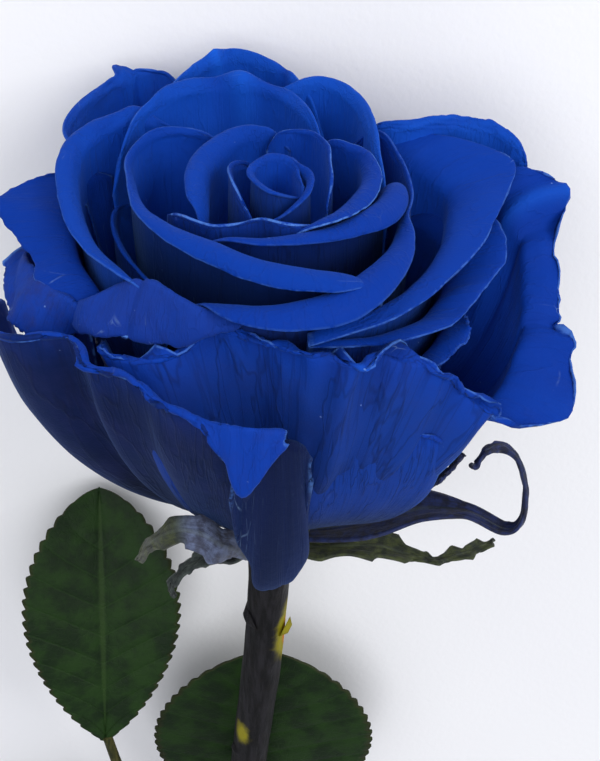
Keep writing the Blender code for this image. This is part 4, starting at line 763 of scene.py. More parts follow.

# %% [markdown]
# ## Dyed petals
#
# Up close a petal is velvet: tiny cells scatter the light, so it has a soft sheen and hardly a highlight.
# Fine veins fan out from the foot, painted shade darkens the petal near it, and the margin dries pale, with
# whitish scuffs where it cracked. The back is painted darker, as shade, and is more purple and more veined
# than the face. Both sides share one recipe, with other paints. The pattern follows the petal's own UV map,
# in which u runs across and t along.

# %% The petals' two finishes
def petal_finish(name, lip_paint, body_paint, foot_paint, veined, dustiness, depth):
    """One side of a petal. depth names the fact that holds this side's painted shade."""
    finish = Finish(name, Specular_IOR_Level=0.08, Sheen_Weight=0.13, Sheen_Roughness=0.45,
                    Sheen_Tint=(0.16, 0.36, 1.0, 1.0))
    facts = ("seed", "margin", "dusty", "pale", "shade", depth)
    seed, margin, dusty, pale, shade, side_shade = [finish.attribute(fact) for fact in facts]
    place = finish.place()
    u, t = finish.shares()

    # Veins are ridges in a noise that is stretched along the petal.
    def stretched(across, along):
        return finish.node("ShaderNodeCombineXYZ", None, u * across, t * along, seed)

    fine = finish.noise(stretched(34.0, 2.6), 1.0, 2.0)
    fine_vein = 1 - fine.distance(0.5).rise(0.0, 0.045)
    coarse = finish.noise(stretched(11.0, 3.4), 1.0, 3.0, 0.6)
    coarse_vein = 1 - coarse.distance(0.5).rise(0.0, 0.03)
    veins = (fine_vein * 0.5 + coarse_vein * 0.8) * t.rise(0.08, 0.3)

    # Three sizes of cloud break up every other pattern.
    cloud = finish.noise(place, 160.0, 4.0, 0.6)
    mottle = finish.noise(place, 900.0, 3.0, 0.6)
    velvet = finish.noise(place, 5200.0, 2.0)

    # Painted shade darkens each side towards the foot, deep in the bloom, and more where the side is marked
    # to lie in shade. On the face the body paint is lighter than the lip paint: painted light on the shaded
    # body.
    body = (t.rise(0.12, 0.6) + cloud * 0.5 - 0.25).rise(0.0, 1.0)
    lip = (t.rise(0.58, 0.8) + cloud * 0.4 - 0.2).rise(0.0, 1.0)
    dye_and_painted_shade = finish.coats(foot_paint, (body * (1 - side_shade), body_paint),
                        (lip * (1 - side_shade * 0.8), lip_paint), (veins * veined, foot_paint))

    # Old petals are dusty, with a greyed purple bloom in patches.
    dust = (cloud.rise(0.42, 0.62) * 0.6 + mottle.rise(0.45, 0.7) * 0.4) * (dusty * 0.6 + dustiness)

    # The margin is a hair line paler, and scuffed where it cracked.
    edge = 1 - margin.rise(0.1, 0.6)
    crack = finish.node("ShaderNodeTexVoronoi", {"feature": "DISTANCE_TO_EDGE"}, Vector=stretched(9.0, 6.0),
                        Scale=1.0)
    near_margin = 1 - margin.rise(1.5, 6.0)
    scuffed = (1 - crack.rise(0.004, 0.02)) * near_margin * cloud.rise(0.56, 0.66) * pale

    # A few specks of dust lie on it.
    speck = finish.node("ShaderNodeTexVoronoi", {"feature": "F1"}, Vector=place, Scale=420.0)
    specks = (1 - speck.rise(0.035, 0.07)) * mottle.rise(0.56, 0.62)

    # Over the dye come the dust, painted shade in the folds' valleys, painted light on their ridges and on
    # whole petals where the shade is negative, and the marks of age.
    colour = finish.coats(
        dye_and_painted_shade,
        (dust, paint(40, 42, 88)),
        # painted shade
        (shade.rise(0.0, 1.0), paint(3, 6, 20)),
        # painted light
        ((shade * -1.0).rise(0.0, 1.0), paint(24, 104, 230)),
        (edge * mottle.rise(0.34, 0.56) * pale, paint(84, 132, 210)),
        (scuffed * 0.6, paint(150, 185, 225)),
        (specks * 0.45, paint(130, 160, 220)))
    height = velvet * 0.25 + mottle * 0.35 + cloud * 0.3 + veins * 0.35 + scuffed * 0.3
    return finish.finished(colour, 0.62 + mottle * 0.2 - specks * 0.1, height, 0.00016)


# Painted shade and light: each foot paint is painted shade, darkest on the back, and the face's body paint is
# lighter than its lip paint, to light the shaded body.
petal_face = petal_finish(
    "Petal face", lip_paint=paint(2, 48, 142), body_paint=paint(20, 74, 190), foot_paint=paint(24, 46, 118),
    veined=0.1, dustiness=0.0, depth="dull")
petal_back = petal_finish(
    "Petal back", lip_paint=paint(4, 54, 154), body_paint=paint(16, 54, 140), foot_paint=paint(5, 9, 26),
    veined=0.35, dustiness=0.06, depth="dark")
print("finishes:", petal_face.name, "and", petal_back.name)

# %% [markdown]
# ## From a flat grid to a piece
#
# Petals, sepals, blades, stalks and the stem all start as a flat grid that a formula moves into place, so
# they share a few helpers. A finished mesh becomes a piece that rides on the model and stands for one of
# its solids. Solidify gives a sheet its thickness, half on each side, so the formula is its middle.

# %% Helpers for grids, tubes and pieces
def new_mesh(*facts):
    """An empty mesh with a UV map, and a number on every vertex for each fact."""
    bm = bmesh.new()
    bm.loops.layers.uv.new("UVMap")
    for fact in facts:
        bm.verts.layers.float.new(fact)
    return bm


def add_grid(bm, columns, rows):
    """A flat grid, with how far across (u) and along (t) it each vertex lies, from 0 to 1."""
    made = bmesh.ops.create_grid(bm, x_segments=columns, y_segments=rows, size=1, calc_uvs=True)["verts"]
    u, t = [np.array([(vertex.co[axis] + 1) / 2 for vertex in made]) for axis in (0, 1)]
    return made, u, t


def put(bm, vertices, points, **facts):
    """Lays vertices down at points of the flower's frame, with the same facts on each."""
    for vertex, place in zip(vertices, laid_down(points)):
        vertex.co = place
        for fact, value in facts.items():
            vertex[bm.verts.layers.float[fact]] = value


def tube_points(path, radius, u, t):
    """Points of a tube along a smooth path: u runs round it and t along it."""
    ahead = slope(path, t)
    right = unit(np.cross(ahead, np.array([0.0, 1.0, 0.0])))
    front = np.cross(right, ahead)
    turn = u * 2 * math.pi
    across = right * (np.cos(turn) * radius)[:, None]
    return smooth_path(path, t) + across + front * (np.sin(turn) * radius)[:, None]


def new_piece(name, bm, material, node):
    """A finished mesh becomes a piece that stands for a node of the solid model."""
    mesh = bpy.data.meshes.new(name)
    bm.to_mesh(mesh)
    bm.free()
    mesh.shade_smooth()
    mesh.materials.append(material)
    piece = bpy.data.objects.new(name, mesh)
    bpy.context.scene.collection.objects.link(piece)
    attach(piece, "root")
    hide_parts(node)
    print(name, "has", len(mesh.polygons), "faces and stands for", node)
    return piece


def thicken(piece, thickness):
    """Gives a sheet its thickness in mm."""
    wall = piece.modifiers.new("Sheet", "SOLIDIFY")
    wall.thickness = thickness * MM
    wall.offset = 0
    return wall


sample = new_mesh()
print("across a grid of two columns u is", sorted(set(add_grid(sample, 2, 1)[1].tolist())))
sample.free()

# %% [markdown]
# ## Making the petals
#
# One grid per petal is moved into place by the formula, all of a whorl's petals in one mesh. The grid's
# normals are turned to the petal's face, so that Solidify can give its back the second finish. The margin
# is thinner than the body, as on a real petal. Seven numbers go along on every vertex for the finishes: a
# seed, the distance to the margin, how dusty and pale-edged the petal is, the painted shade of its two
# sides, and the painted shade of its valleys, which turns to painted light on its ridges and, where it is
# negative, over the whole petal.

# %% Build a petal
VERTEX_FACTS = ("seed", "margin", "dusty", "pale", "dark", "dull", "shade")
SEED_STEP = 3.7                  # keeps each petal's veins apart from its neighbours'
PETAL_GRID = (64, 60)            # columns and rows of a petal
SMALL_GRID = (52, 44)
SMALL_RIM = 14.0                 # mm; petals with a rim no wider than this take the small grid
PETAL_SHEET = 0.45               # mm
MARGIN_SHARE = 0.35              # thickness at the margin, as a share of the body's
MARGIN_TAPER = 0.5               # what each mm away from the margin adds to that share
THINNEST = 0.1                   # share that is left where a vertex has no weight
BODY = (0.3, 0.6)                # shares of the length between which a petal's facing is read
VALLEY_SHADE = 0.25              # painted shade per mm of a crinkle's valley, and painted light per mm of its ridge
SHADE_LIMITS = (-0.6, 0.8)
PRESSED_SHEET = 0.35             # half the solid petal's thickness, so that both lie alike on the surface
PRESSED_LAYER = 1.0              # mm between petals that lie one on another


def detailed_points(petal, u, t, seed):
    """The petal's waves with its crinkle and creases on them, and the way the waved surface faces."""
    def waved(u, t):
        return ruffled_points(petal, u, t, seed)

    facing = normals(waved, u, t)
    return waved(u, t) + facing * crinkle_height(petal, u, t, seed)[:, None], facing


def add_petal(bm, petal, seed):
    """Adds one petal's grid to the whorl's mesh."""
    widest = max(radius for _, radius, _ in petal.rim)
    grid = SMALL_GRID if widest <= SMALL_RIM else PETAL_GRID
    made, u, t = add_grid(bm, *grid)
    points, facing = detailed_points(petal, u, t, seed)

    # The distance to the margin runs over the surface: up the column, or sideways to a side edge.
    width = np.linalg.norm(np.diff(round_axis(*np.array(petal.rim, float).T), axis=0), axis=1).sum()
    length = petal.rim[len(petal.rim) // 2][2] - petal.base[1]
    margin = np.minimum((1 - t) * length, np.minimum(u, 1 - u) * width)

    marks = MARKS.get(petal.name, PLAIN_MARKS)
    # Painted shade in the crinkle's valleys and painted light on its ridges, over the petal's own painted
    # shade, which paints light where it is negative.
    shade = np.clip(marks.shade - VALLEY_SHADE * crinkle_height(petal, u, t, seed), *SHADE_LIMITS)
    layers = [bm.verts.layers.float[fact] for fact in VERTEX_FACTS]
    sheet = bm.verts.layers.deform.active
    world = laid_down(points)
    world[:, 2] = np.maximum(world[:, 2], (PRESSED_SHEET + PRESSED_LAYER * petal.layer) * MM)
    for vertex, place, edge, hollow in zip(made, world, margin, shade):
        vertex.co = place
        values = (seed * SEED_STEP, edge, marks.dusty, marks.pale, marks.dark, marks.dull, hollow)
        for layer, value in zip(layers, values):
            vertex[layer] = value
        vertex[sheet][0] = min(1.0, MARGIN_SHARE + edge * MARGIN_TAPER)

    body = (t > BODY[0]) & (t < BODY[1])
    away = points[body, :2] - np.array(petal.centre)
    if (facing[body, :2] * away).sum() > 0:
        faces = {face for vertex in made for face in vertex.link_faces}
        bmesh.ops.reverse_faces(bm, faces=list(faces))


print("a petal gets", PETAL_GRID, "columns and rows, and a small one", SMALL_GRID)

# %% The core under the heart
CORE_HEIGHTS = (1.0, 22.0)
CORE_RADII = (4.6, 3.0)
CORE_LEAN = -2.0                 # how far its top leans over
CORE_SIDES = 32
CORE_MARGIN = 9.0                # mm; as far from any margin as the inside of a petal
CORE_SHADE = 0.5


def add_core(bm):
    """The tapered core inside the bloom, on which the heart's petals stand."""
    (low, high), (foot, top) = CORE_HEIGHTS, CORE_RADII
    made = bmesh.ops.create_cone(bm, cap_ends=True, segments=CORE_SIDES, radius1=foot, radius2=top,
                                 depth=high - low, calc_uvs=True)["verts"]
    points = np.array([vertex.co for vertex in made]) + np.array((0, 0, (low + high) / 2))
    points[:, 1] += CORE_LEAN * (points[:, 2] - low) / (high - low)
    # The core gets full painted shade on both sides, and more painted shade over that, deep inside the heart.
    put(bm, made, points, margin=CORE_MARGIN, dark=1.0, dull=1.0, shade=CORE_SHADE)
    for vertex in made:
        vertex[bm.verts.layers.deform.active][0] = 1.0


print("the core is", CORE_HEIGHTS[1] - CORE_HEIGHTS[0], "mm high")

# %% Put the whorls together
def build_whorl(name, petals):
    """One piece that holds the petals of a whorl, with a face and a back."""
    bm = new_mesh(*VERTEX_FACTS)
    bm.verts.layers.deform.verify()
    for petal in petals:
        add_petal(bm, petal, PETALS.index(petal))
    if petals is HEART:
        add_core(bm)
    whorl = new_piece(name, bm, petal_face, "bloom")
    whorl.data.materials.append(petal_back)
    whorl.vertex_groups.new(name="sheet")
    wall = thicken(whorl, PETAL_SHEET)
    wall.vertex_group = "sheet"
    wall.thickness_vertex_group = THINNEST
    wall.material_offset = 1
    wall.material_offset_rim = 0


for name, petals in WHORLS.items():
    build_whorl(f"petals_{name}", petals)

# %% [markdown]
# ## The calyx
#
# Under the petals sits the receptacle, which carries five sepals. Preserving darkens them. One is dyed navy
# and its dry tip curls up in a hook, one stayed olive with teeth, and one is slate blue and twisted. Two
# carry a side strip, which has a row of its own here: the curled one a barb, the slate one a dark tail. A
# sepal is a folded strip along a midline, so it is made as a petal is: a grid, a formula and a thickness.

# %% Describe the sepals
@dataclass
class Sepal:
    """One sepal or side strip: its midline as angle, radius and height, and its half widths from the foot."""
    name: str
    midline: list
    half_widths: tuple
    teeth: float = 0.0       # depth of the teeth in mm
    upright: float = 0.0     # 1 where the outer part stands on its edge
    hue: float = 0.0         # 0 navy, 0.5 olive, 1 slate


SEPALS = [
    Sepal("sepal_right_curled",
          [(80, 4.6, -3.0), (80, 10.0, -1.0), (82, 16.0, 1.2), (84, 22.0, 3.4), (82, 27.6, 4.6),
           (78, 33.2, 4.4), (79, 35.4, 6.0), (82, 35.5, 9.4), (83, 34.6, 13.0), (83, 33.1, 16.0),
           (82, 30.7, 18.0), (78, 28.9, 18.5), (75, 28.0, 17.4), (73.5, 27.3, 17.6)],
          (2.8, 3.8, 4.2, 3.0, 1.5, 1.2, 0.9, 0.65, 0.6, 0.6, 0.7, 0.6, 0.4, 0.1), teeth=0.12),
    Sepal("sepal_right_barb",
          [(80, 18.6, 4.0), (80, 20.6, 7.0), (81, 22.2, 9.2), (83, 24.1, 11.0), (84, 25.4, 13.0),
           (83, 26.2, 15.2)],
          (0.6, 0.9, 0.8, 0.55, 0.4, 0.1)),
    Sepal("sepal_right_toothed",
          [(40, 4.6, -3.4), (56, 8.4, -2.4), (68, 12.4, -2.0), (75, 16.0, -2.6), (76, 20.0, -3.2),
           (76, 22.9, -3.5), (78, 25.7, -3.6), (82, 28.5, -3.8), (85, 30.7, -4.0), (88, 32.8, -4.0)],
          (2.4, 2.6, 2.3, 2.5, 1.6, 0.6, 0.8, 1.1, 0.8, 0.15), teeth=0.45, hue=0.5),
    Sepal("sepal_left",
          [(-4, 4.6, -3.2), (-8, 11.2, 2.0), (-10, 16.0, 7.6), (-12.5, 19.2, 12.4), (-16.4, 22.2, 16.4),
           (-21.3, 23.5, 19.0), (-26.7, 24.3, 19.4), (-34, 24.4, 16.5), (-43, 23.5, 11.0), (-54, 22.1, 4.0)],
          (2.4, 2.6, 2.4, 2.1, 2.2, 2.2, 1.7, 1.2, 0.9, 0.3), teeth=0.3, hue=1.0, upright=1.0),
    Sepal("sepal_left_strip",
          [(-34, 4.6, -3.4), (-42, 9.0, -2.4), (-50, 12.4, -1.6), (-55, 14.6, -3.2), (-57, 16.6, -6.0),
           (-56, 16.4, -8.2)],
          (2.0, 1.6, 1.2, 0.8, 0.6, 0.1), teeth=0.2, hue=0.3),
    Sepal("sepal_floor_left",
          [(-122, 4.6, -3.2), (-122, 11.0, -2.0), (-124, 17.0, -3.0), (-128, 21.0, -7.0),
           (-130, 23.0, -12.0)],
          (2.6, 3.6, 2.8, 1.6, 0.3), teeth=0.4, hue=0.4),
    Sepal("sepal_floor_right",
          [(150, 4.6, -3.2), (150, 11.0, -1.6), (148, 17.0, -2.0), (144, 21.6, -5.0), (142, 24.0, -10.0)],
          (2.6, 3.6, 2.8, 1.6, 0.3), teeth=0.4, hue=0.2),
]
print("the calyx has", [sepal.name for sepal in SEPALS])

# %% Shape a sepal
SEPAL_GRID = (12, 110)
SEPAL_SHEET = 0.5                # mm
SEPAL_KEEL = 0.25                # depth of a sepal's fold as a share of its half width
SEPAL_TEETH = 6.0                # teeth on each side
TOOTH_BACK = 0.75                # share of a tooth that is its long back
TOOTH_LAG = 0.35                 # how far one side's teeth lag behind the other's
TOOTH_CURVE = 1.6                # how hollow a tooth's back is
SEPAL_THINNEST = 0.12            # mm that half of a sepal keeps at its tip
UPRIGHT_SIDE = (0.0, 0.65, 0.76)     # which way the width of an upright part runs
UPRIGHT_FROM = 0.2               # share of the length where it begins to stand up
UPRIGHT_OVER = 0.25              # share over which it does


def sepal_points(sepal, u, t):
    """A pointed strip, folded along its midline, with teeth and a dry wrinkle."""
    midline = [round_axis(*point) for point in np.array(sepal.midline, float)]
    angle = np.radians(smooth_path([point[0] for point in sepal.midline], t)[:, 0])
    side = np.stack([np.cos(angle), np.sin(angle), np.zeros(len(angle))], axis=-1)
    stood = sepal.upright * np.clip((t - UPRIGHT_FROM) / UPRIGHT_OVER, 0, 1)[:, None]
    side = unit(side * (1 - stood) + np.array(UPRIGHT_SIDE) * stood)
    ahead = slope(midline, t)
    side = unit(side - ahead * (side * ahead).sum(1)[:, None])
    place = (t * SEPAL_TEETH + TOOTH_LAG * (u > 0.5)) % 1
    tooth = np.where(place < TOOTH_BACK, place / TOOTH_BACK, (1 - place) / (1 - TOOTH_BACK))
    tooth = tooth**TOOTH_CURVE * 2 * sepal.teeth
    half = smooth_path(sepal.half_widths, t)[:, 0] + tooth - sepal.teeth * 0.6
    off = 2 * u - 1
    face = unit(np.cross(ahead, side))
    wrinkle = 0.14 * np.sin(off * 9 + t * 5) * np.sin(t * 40 + off * 4) + 0.1 * np.sin(off * 21 + t * 17)
    lift = np.abs(off) * half * SEPAL_KEEL + wrinkle
    across = side * (off * np.maximum(half, SEPAL_THINNEST))[:, None]
    return smooth_path(midline, t) + across + face * lift[:, None]


print("widest sepal:", 2 * max(max(sepal.half_widths) for sepal in SEPALS), "mm")

# %% Finish of the sepals
def sepal_finish():
    """Dry sepals, from navy through olive to slate by the fact hue."""
    finish = Finish("Dried sepal", Specular_IOR_Level=0.3, Sheen_Weight=0.08)
    place = finish.place()
    hue = finish.attribute("hue")
    u, t = finish.shares()
    fibres = finish.noise(finish.node("ShaderNodeCombineXYZ", None, u * 16.0, t * 5.0, hue), 1.0, 4.0, 0.6)
    mottle = finish.noise(place, 700.0, 4.0, 0.65)
    grain = finish.noise(place, 3600.0, 2.0)
    midrib = 1 - u.distance(0.5).rise(0.02, 0.09)
    navy = finish.blend(mottle.rise(0.35, 0.65), paint(14, 20, 46), paint(30, 44, 92))
    olive = finish.blend(mottle.rise(0.35, 0.65), paint(30, 38, 28), paint(66, 74, 40))
    slate = finish.blend(mottle.rise(0.3, 0.7), paint(54, 58, 78), paint(96, 108, 140))
    colour = finish.coats(
        navy,
        (hue.rise(0.05, 0.45), olive),
        (hue.rise(0.55, 0.95) * (1 - t.rise(0.6, 0.72)), slate),
        (fibres.rise(0.5, 0.72) * 0.5, paint(18, 20, 26)),
        (midrib * 0.25, paint(86, 96, 84)))
    height = fibres * 0.5 + mottle * 0.4 + grain * 0.15 + midrib * 0.3
    return finish.finished(colour, 0.5 + mottle * 0.3, height, 0.0003)


dried_sepal = sepal_finish()
print("finish:", dried_sepal.name)

# %% Build the calyx
RECEPTACLE_PROFILE = [           # radius and height, from its foot up
    (0.0, -8.2), (3.3, -8.2), (4.0, -6.8), (5.6, -4.6), (5.9, -2.4), (5.0, -0.8), (0.0, 0.2)]
RECEPTACLE_POINTS = 40           # along its profile
RECEPTACLE_STEPS = 48            # round it
RECEPTACLE_HUE = 0.5
POLE_GAP = 0.002                 # mm; the profile's ends on the axis become one point each

bm = new_mesh("hue")
for sepal in SEPALS:
    made, u, t = add_grid(bm, *SEPAL_GRID)
    put(bm, made, sepal_points(sepal, u, t), hue=sepal.hue)
thicken(new_piece("sepals", bm, dried_sepal, "calyx"), SEPAL_SHEET)

bm = new_mesh("hue")
profile = smooth_path(RECEPTACLE_PROFILE, np.linspace(0, 1, RECEPTACLE_POINTS))
chain = [bm.verts.new((max(radius, 0), 0, height)) for radius, height in profile]
for first, second in zip(chain, chain[1:]):
    bm.edges.new((first, second))
bmesh.ops.spin(bm, geom=bm.verts[:] + bm.edges[:], axis=(0, 0, 1), cent=(0, 0, 0), angle=2 * math.pi,
               steps=RECEPTACLE_STEPS, use_merge=True)
bmesh.ops.remove_doubles(bm, verts=bm.verts, dist=POLE_GAP)
put(bm, bm.verts, [vertex.co for vertex in bm.verts], hue=RECEPTACLE_HUE)
bmesh.ops.recalc_face_normals(bm, faces=bm.faces)
new_piece("receptacle", bm, dried_sepal, "calyx")

# %% [markdown]
# ## The stem
#
# The stem is one cut cane. It swells a little where leaves grow, is ribbed lengthwise, and carries a few
# prickles. Preserving turned it charcoal with a greyer streak, and the scars of broken prickles show yellow
# and olive. The cut end shows the pale pith. It is a grid rolled into a tube, so its ribs can be part of
# the shape.

# %% Shape the stem
STEM_RADIUS = 3.2
STEM_PATH = [(0, 0, -8.5), (-0.3, 0, -18), (-0.9, 0, -32), (-2.2, 0, -50), (-3.6, 0, -70), (-4.8, 0, -92),
             (-5.6, 0, -112), (-6.2, 0, -128), (-6.5, 0, -140), (-6.6, -0.6, -165), (-6.4, -0.5, -190)]
STEM_SPREAD = [1.05, 1.0, 1.0, 1.0, 1.0, 1.0, 1.22, 1.0, 1.22, 1.0, 1.0]
STEM_GRID = (64, 420)
SCARS = [(3.1, 0.0, -26.0, 3.2), (-3.6, -1.4, -52.0, 1.6)]      # X, Y, Z and size of each scar, in mm
SCAR_LENGTH = 2.2                # how much longer than wide a scar is
SCAR_STRENGTH = 1.25             # at its middle; from about 0.9 it is orange, and olive below that
PRICKLES = [             # foot, direction, radius and length of each, and how much of a scar it is
    ((-2.5, -0.6, -22.8), (-1.0, -0.2, -0.4), 2.5, 1.3, 0.0),
    ((2.5, -0.8, -25.0), (1.0, -0.4, -0.3), 1.8, 0.9, 0.7),
    ((-4.9, -1.0, -58.0), (-1.0, -0.5, 0.0), 1.8, 1.1, 0.0),
]
PRICKLE_TIP = 0.4                # radius of a prickle's broken tip, as a share of its foot's
PRICKLE_SIDES = 24
WELD = 1e-6                      # metres; points nearer than this become one
BARK = 0.0012                    # metres of dark bark round the pith at a cut end
PITH_SUNK = 0.0001               # metres that the pith lies below the bark


def stem_points(u, t):
    """The stem's ribbed and dented skin: u runs round it and t along it."""
    turn = u * 2 * math.pi
    ribs = 0.05 * np.sin(turn * 7 + 3 * np.sin(t * 9)) + 0.03 * np.sin(turn * 17 + t * 40)
    dents = 0.05 * np.sin(turn * 2 + t * 60) * np.sin(t * 33)
    radius = STEM_RADIUS * smooth_path(STEM_SPREAD, t)[:, 0] - 0.1 + ribs + dents
    return tube_points(STEM_PATH, radius, u, t)


print("the stem is about", STEM_PATH[0][2] - STEM_PATH[-1][2], "mm long and", 2 * STEM_RADIUS, "mm thick")

# %% Finish of the stem
def stem_finish(name, dark, pale):
    """A streaked cane, with yellow where the fact scar is high and pale where the fact pith is."""
    finish = Finish(name, Specular_IOR_Level=0.14)
    place = finish.place()
    stretch = finish.node("ShaderNodeMapping", {"vector_type": "POINT"}, place, (0, 0, 0), (0, 0, 0),
                          (1.0, 0.12, 1.0))
    streaks = finish.noise(stretch, 1100.0, 4.0, 0.6)
    fibres = finish.noise(stretch, 3600.0, 2.0)
    mottle = finish.noise(place, 500.0, 4.0, 0.65)
    grain = finish.noise(place, 4200.0, 2.0)
    scar = finish.attribute("scar")
    pith = finish.blend(grain.rise(0.4, 0.6), paint(150, 132, 96), paint(184, 168, 130))
    colour = finish.coats(
        dark,
        (streaks.rise(0.38, 0.66), pale),
        (mottle.rise(0.52, 0.7) * 0.6, paint(26, 23, 22)),
        ((scar + mottle * 0.5 - 0.25).rise(0.25, 0.7), paint(132, 124, 24)),
        ((scar + mottle * 0.4 - 0.2).rise(0.85, 1.0), paint(176, 104, 30)),
        (finish.attribute("pith"), pith))
    height = streaks * 0.5 + fibres * 0.3 + grain * 0.12 + mottle * 0.2
    return finish.finished(colour, 0.48 + mottle * 0.25, height, 0.00025)


preserved_stem = stem_finish("Preserved stem", dark=paint(10, 10, 12), pale=paint(30, 29, 33))
green_stalk = stem_finish("Leaf stalk", dark=paint(34, 38, 16), pale=paint(70, 68, 32))
print("finishes:", preserved_stem.name, "and", green_stalk.name)

# %% Build the stem
bm = new_mesh("scar", "pith")
scar_layer, pith_layer = [bm.verts.layers.float[fact] for fact in ("scar", "pith")]
skin, u, t = add_grid(bm, *STEM_GRID)
points = stem_points(u, t)
scars = np.zeros(len(points))
for x, y, z, size in SCARS:
    away = np.linalg.norm((points - (x, y, z)) / (1, 1, SCAR_LENGTH), axis=1)
    scars = np.maximum(scars, np.exp(-away**2 / size**2) * SCAR_STRENGTH)
places = laid_down(points)
places[:, 2] = np.maximum(places[:, 2], 0)
for vertex, place, scar in zip(skin, places, scars):
    vertex.co = place
    vertex[scar_layer] = scar
bmesh.ops.remove_doubles(bm, verts=bm.verts, dist=WELD)
ends = bmesh.ops.holes_fill(bm, edges=[edge for edge in bm.edges if edge.is_boundary])["faces"]
bmesh.ops.inset_individual(bm, faces=ends, thickness=BARK, depth=-PITH_SUNK)
for face in bmesh.ops.poke(bm, faces=ends)["faces"]:
    for vertex in face.verts:
        vertex[pith_layer] = 1.0

for place, direction, radius, length, scar in PRICKLES:
    foot, tip = laid_down([place, np.array(place) + unit(np.array(direction)) * length])
    aim = Vector(tip - foot).to_track_quat("Z", "Y").to_matrix().to_4x4()
    cone = bmesh.ops.create_cone(bm, cap_ends=True, segments=PRICKLE_SIDES, radius1=radius * MM,
                                 radius2=PRICKLE_TIP * radius * MM, depth=float(np.linalg.norm(tip - foot)),
                                 matrix=Matrix.Translation(Vector((foot + tip) / 2)) @ aim)["verts"]
    for vertex in cone:
        vertex[scar_layer] = scar
    edges = {edge for vertex in cone for edge in vertex.link_edges}
    bmesh.ops.subdivide_edges(bm, edges=list(edges), cuts=2)
bmesh.ops.recalc_face_normals(bm, faces=bm.faces)
new_piece("cut_stem", bm, preserved_stem, "stem")

# %% [markdown]
# ## The leaves
#
# A rose leaf has toothed leaflets on one stalk. Each leaflet is a grid whose half width follows an oval,
# with sharp teeth that point to the tip, folded along the midrib. Side veins run at a slant into the teeth,
# and the blade bulges a little between them. Those are real height in the mesh, and the finest net of veins
# is left to the bump.

# %% Describe the leaves
@dataclass
class Leaflet:
    """One leaflet, from its foot to its tip, with the direction that its blade spreads in."""
    foot: tuple
    tip: tuple
    side: tuple
    width: float
    droop: float = 2.0       # how far its length arches
    fold: float = 1.5        # how far its two halves rise from the midrib


@dataclass
class Leaf:
    """One leaf: its leaflets, and the stalks that carry them."""
    name: str
    rachis: list             # path of the leaf stalk, from the stem to the last leaflet
    stalks: list             # short side stalks, each from the rachis to a leaflet's foot
    leaflets: list


LEAVES = [
    Leaf("leaf_left",
         [(-10.6, 1.0, -110), (-14.5, 1.2, -103), (-19.5, 1.4, -92), (-24.0, 1.6, -80), (-26.4, 1.0, -68),
          (-27.8, 0.7, -57.8)],
         [[(-20.0, 1.4, -91), (-25.5, 3.5, -90.0), (-30.0, 5.0, -91.0)],
          [(-18.4, 1.4, -94), (-14.6, -3.5, -97.0), (-12.5, -6.0, -101.0)]],
         [Leaflet((-28.2, 0.8, -58.6), (-28.6, 21.6, -17.6), (0.97, 0.20, 0.10), 25.6, 2.5, 2.0),
          Leaflet((-29.0, 4.8, -90.8), (-62.0, 9.0, -108.0), (-0.46, -0.25, 0.88), 21.0),
          Leaflet((-12.7, -5.6, -100.4), (-6.0, -11.5, -135.0), (0.98, 0.15, 0.20), 20.0)]),
    Leaf("leaf_lower",
         [(-6.4, 5.2, -138), (-5.4, 6.8, -130), (-3.4, 7.6, -118), (-1.8, 7.9, -106), (-1.0, 8.0, -94)],
         [[(-3.0, 7.6, -114), (-8.5, 8.9, -114.5), (-12.5, 9.6, -117.0)],
          [(-2.6, 7.6, -112), (2.5, 8.9, -112.0), (7.5, 9.6, -114.0)]],
         [Leaflet((-1.0, 8.0, -95), (-0.4, 8.4, -43.5), (1.0, 0.0, 0.0), 39.0, 1.0, 1.0),
          Leaflet((-11.8, 9.5, -116.5), (-40.0, 7.0, -140.0), (-0.64, 0.0, 0.77), 22.0),
          Leaflet((6.8, 9.5, -113.5), (38.0, 7.6, -134.0), (0.55, 0.0, 0.83), 22.0)]),
]
print("leaflets:", {leaf.name: len(leaf.leaflets) for leaf in LEAVES})

# %% Shape a leaflet
LEAF_GRID = (28, 192)
LEAF_SHEET = 0.45                # mm
TOOTH_DEPTH = 0.9                # mm
TOOTH_FRONT = 0.16               # share of a tooth that is its short front
TEETH = 24                       # on each side of a leaflet
SIDE_VEINS = 9
VEIN_SLANT = 0.16                # how far forward a side vein runs, as a share of the leaflet's length
QUILTING = 0.32                  # mm that the blade bulges between its veins
MIDRIB_GROOVE = 0.3              # mm that the midrib lies deep
GROOVE_WIDTH = 0.035             # share of the half width
RACHIS_RADIUS = 0.85
RACHIS_FOOT = 1.6                # how much thicker it is where it leaves the stem
STALK_SIDES = 14
STALK_ROWS = 10                  # for each point of a stalk's path


def leaflet_outline(t):
    """Half width along a leaflet, as a share of its largest."""
    return np.sin(math.pi * np.clip(t, 0.008, 0.9995)**1.2)**0.6


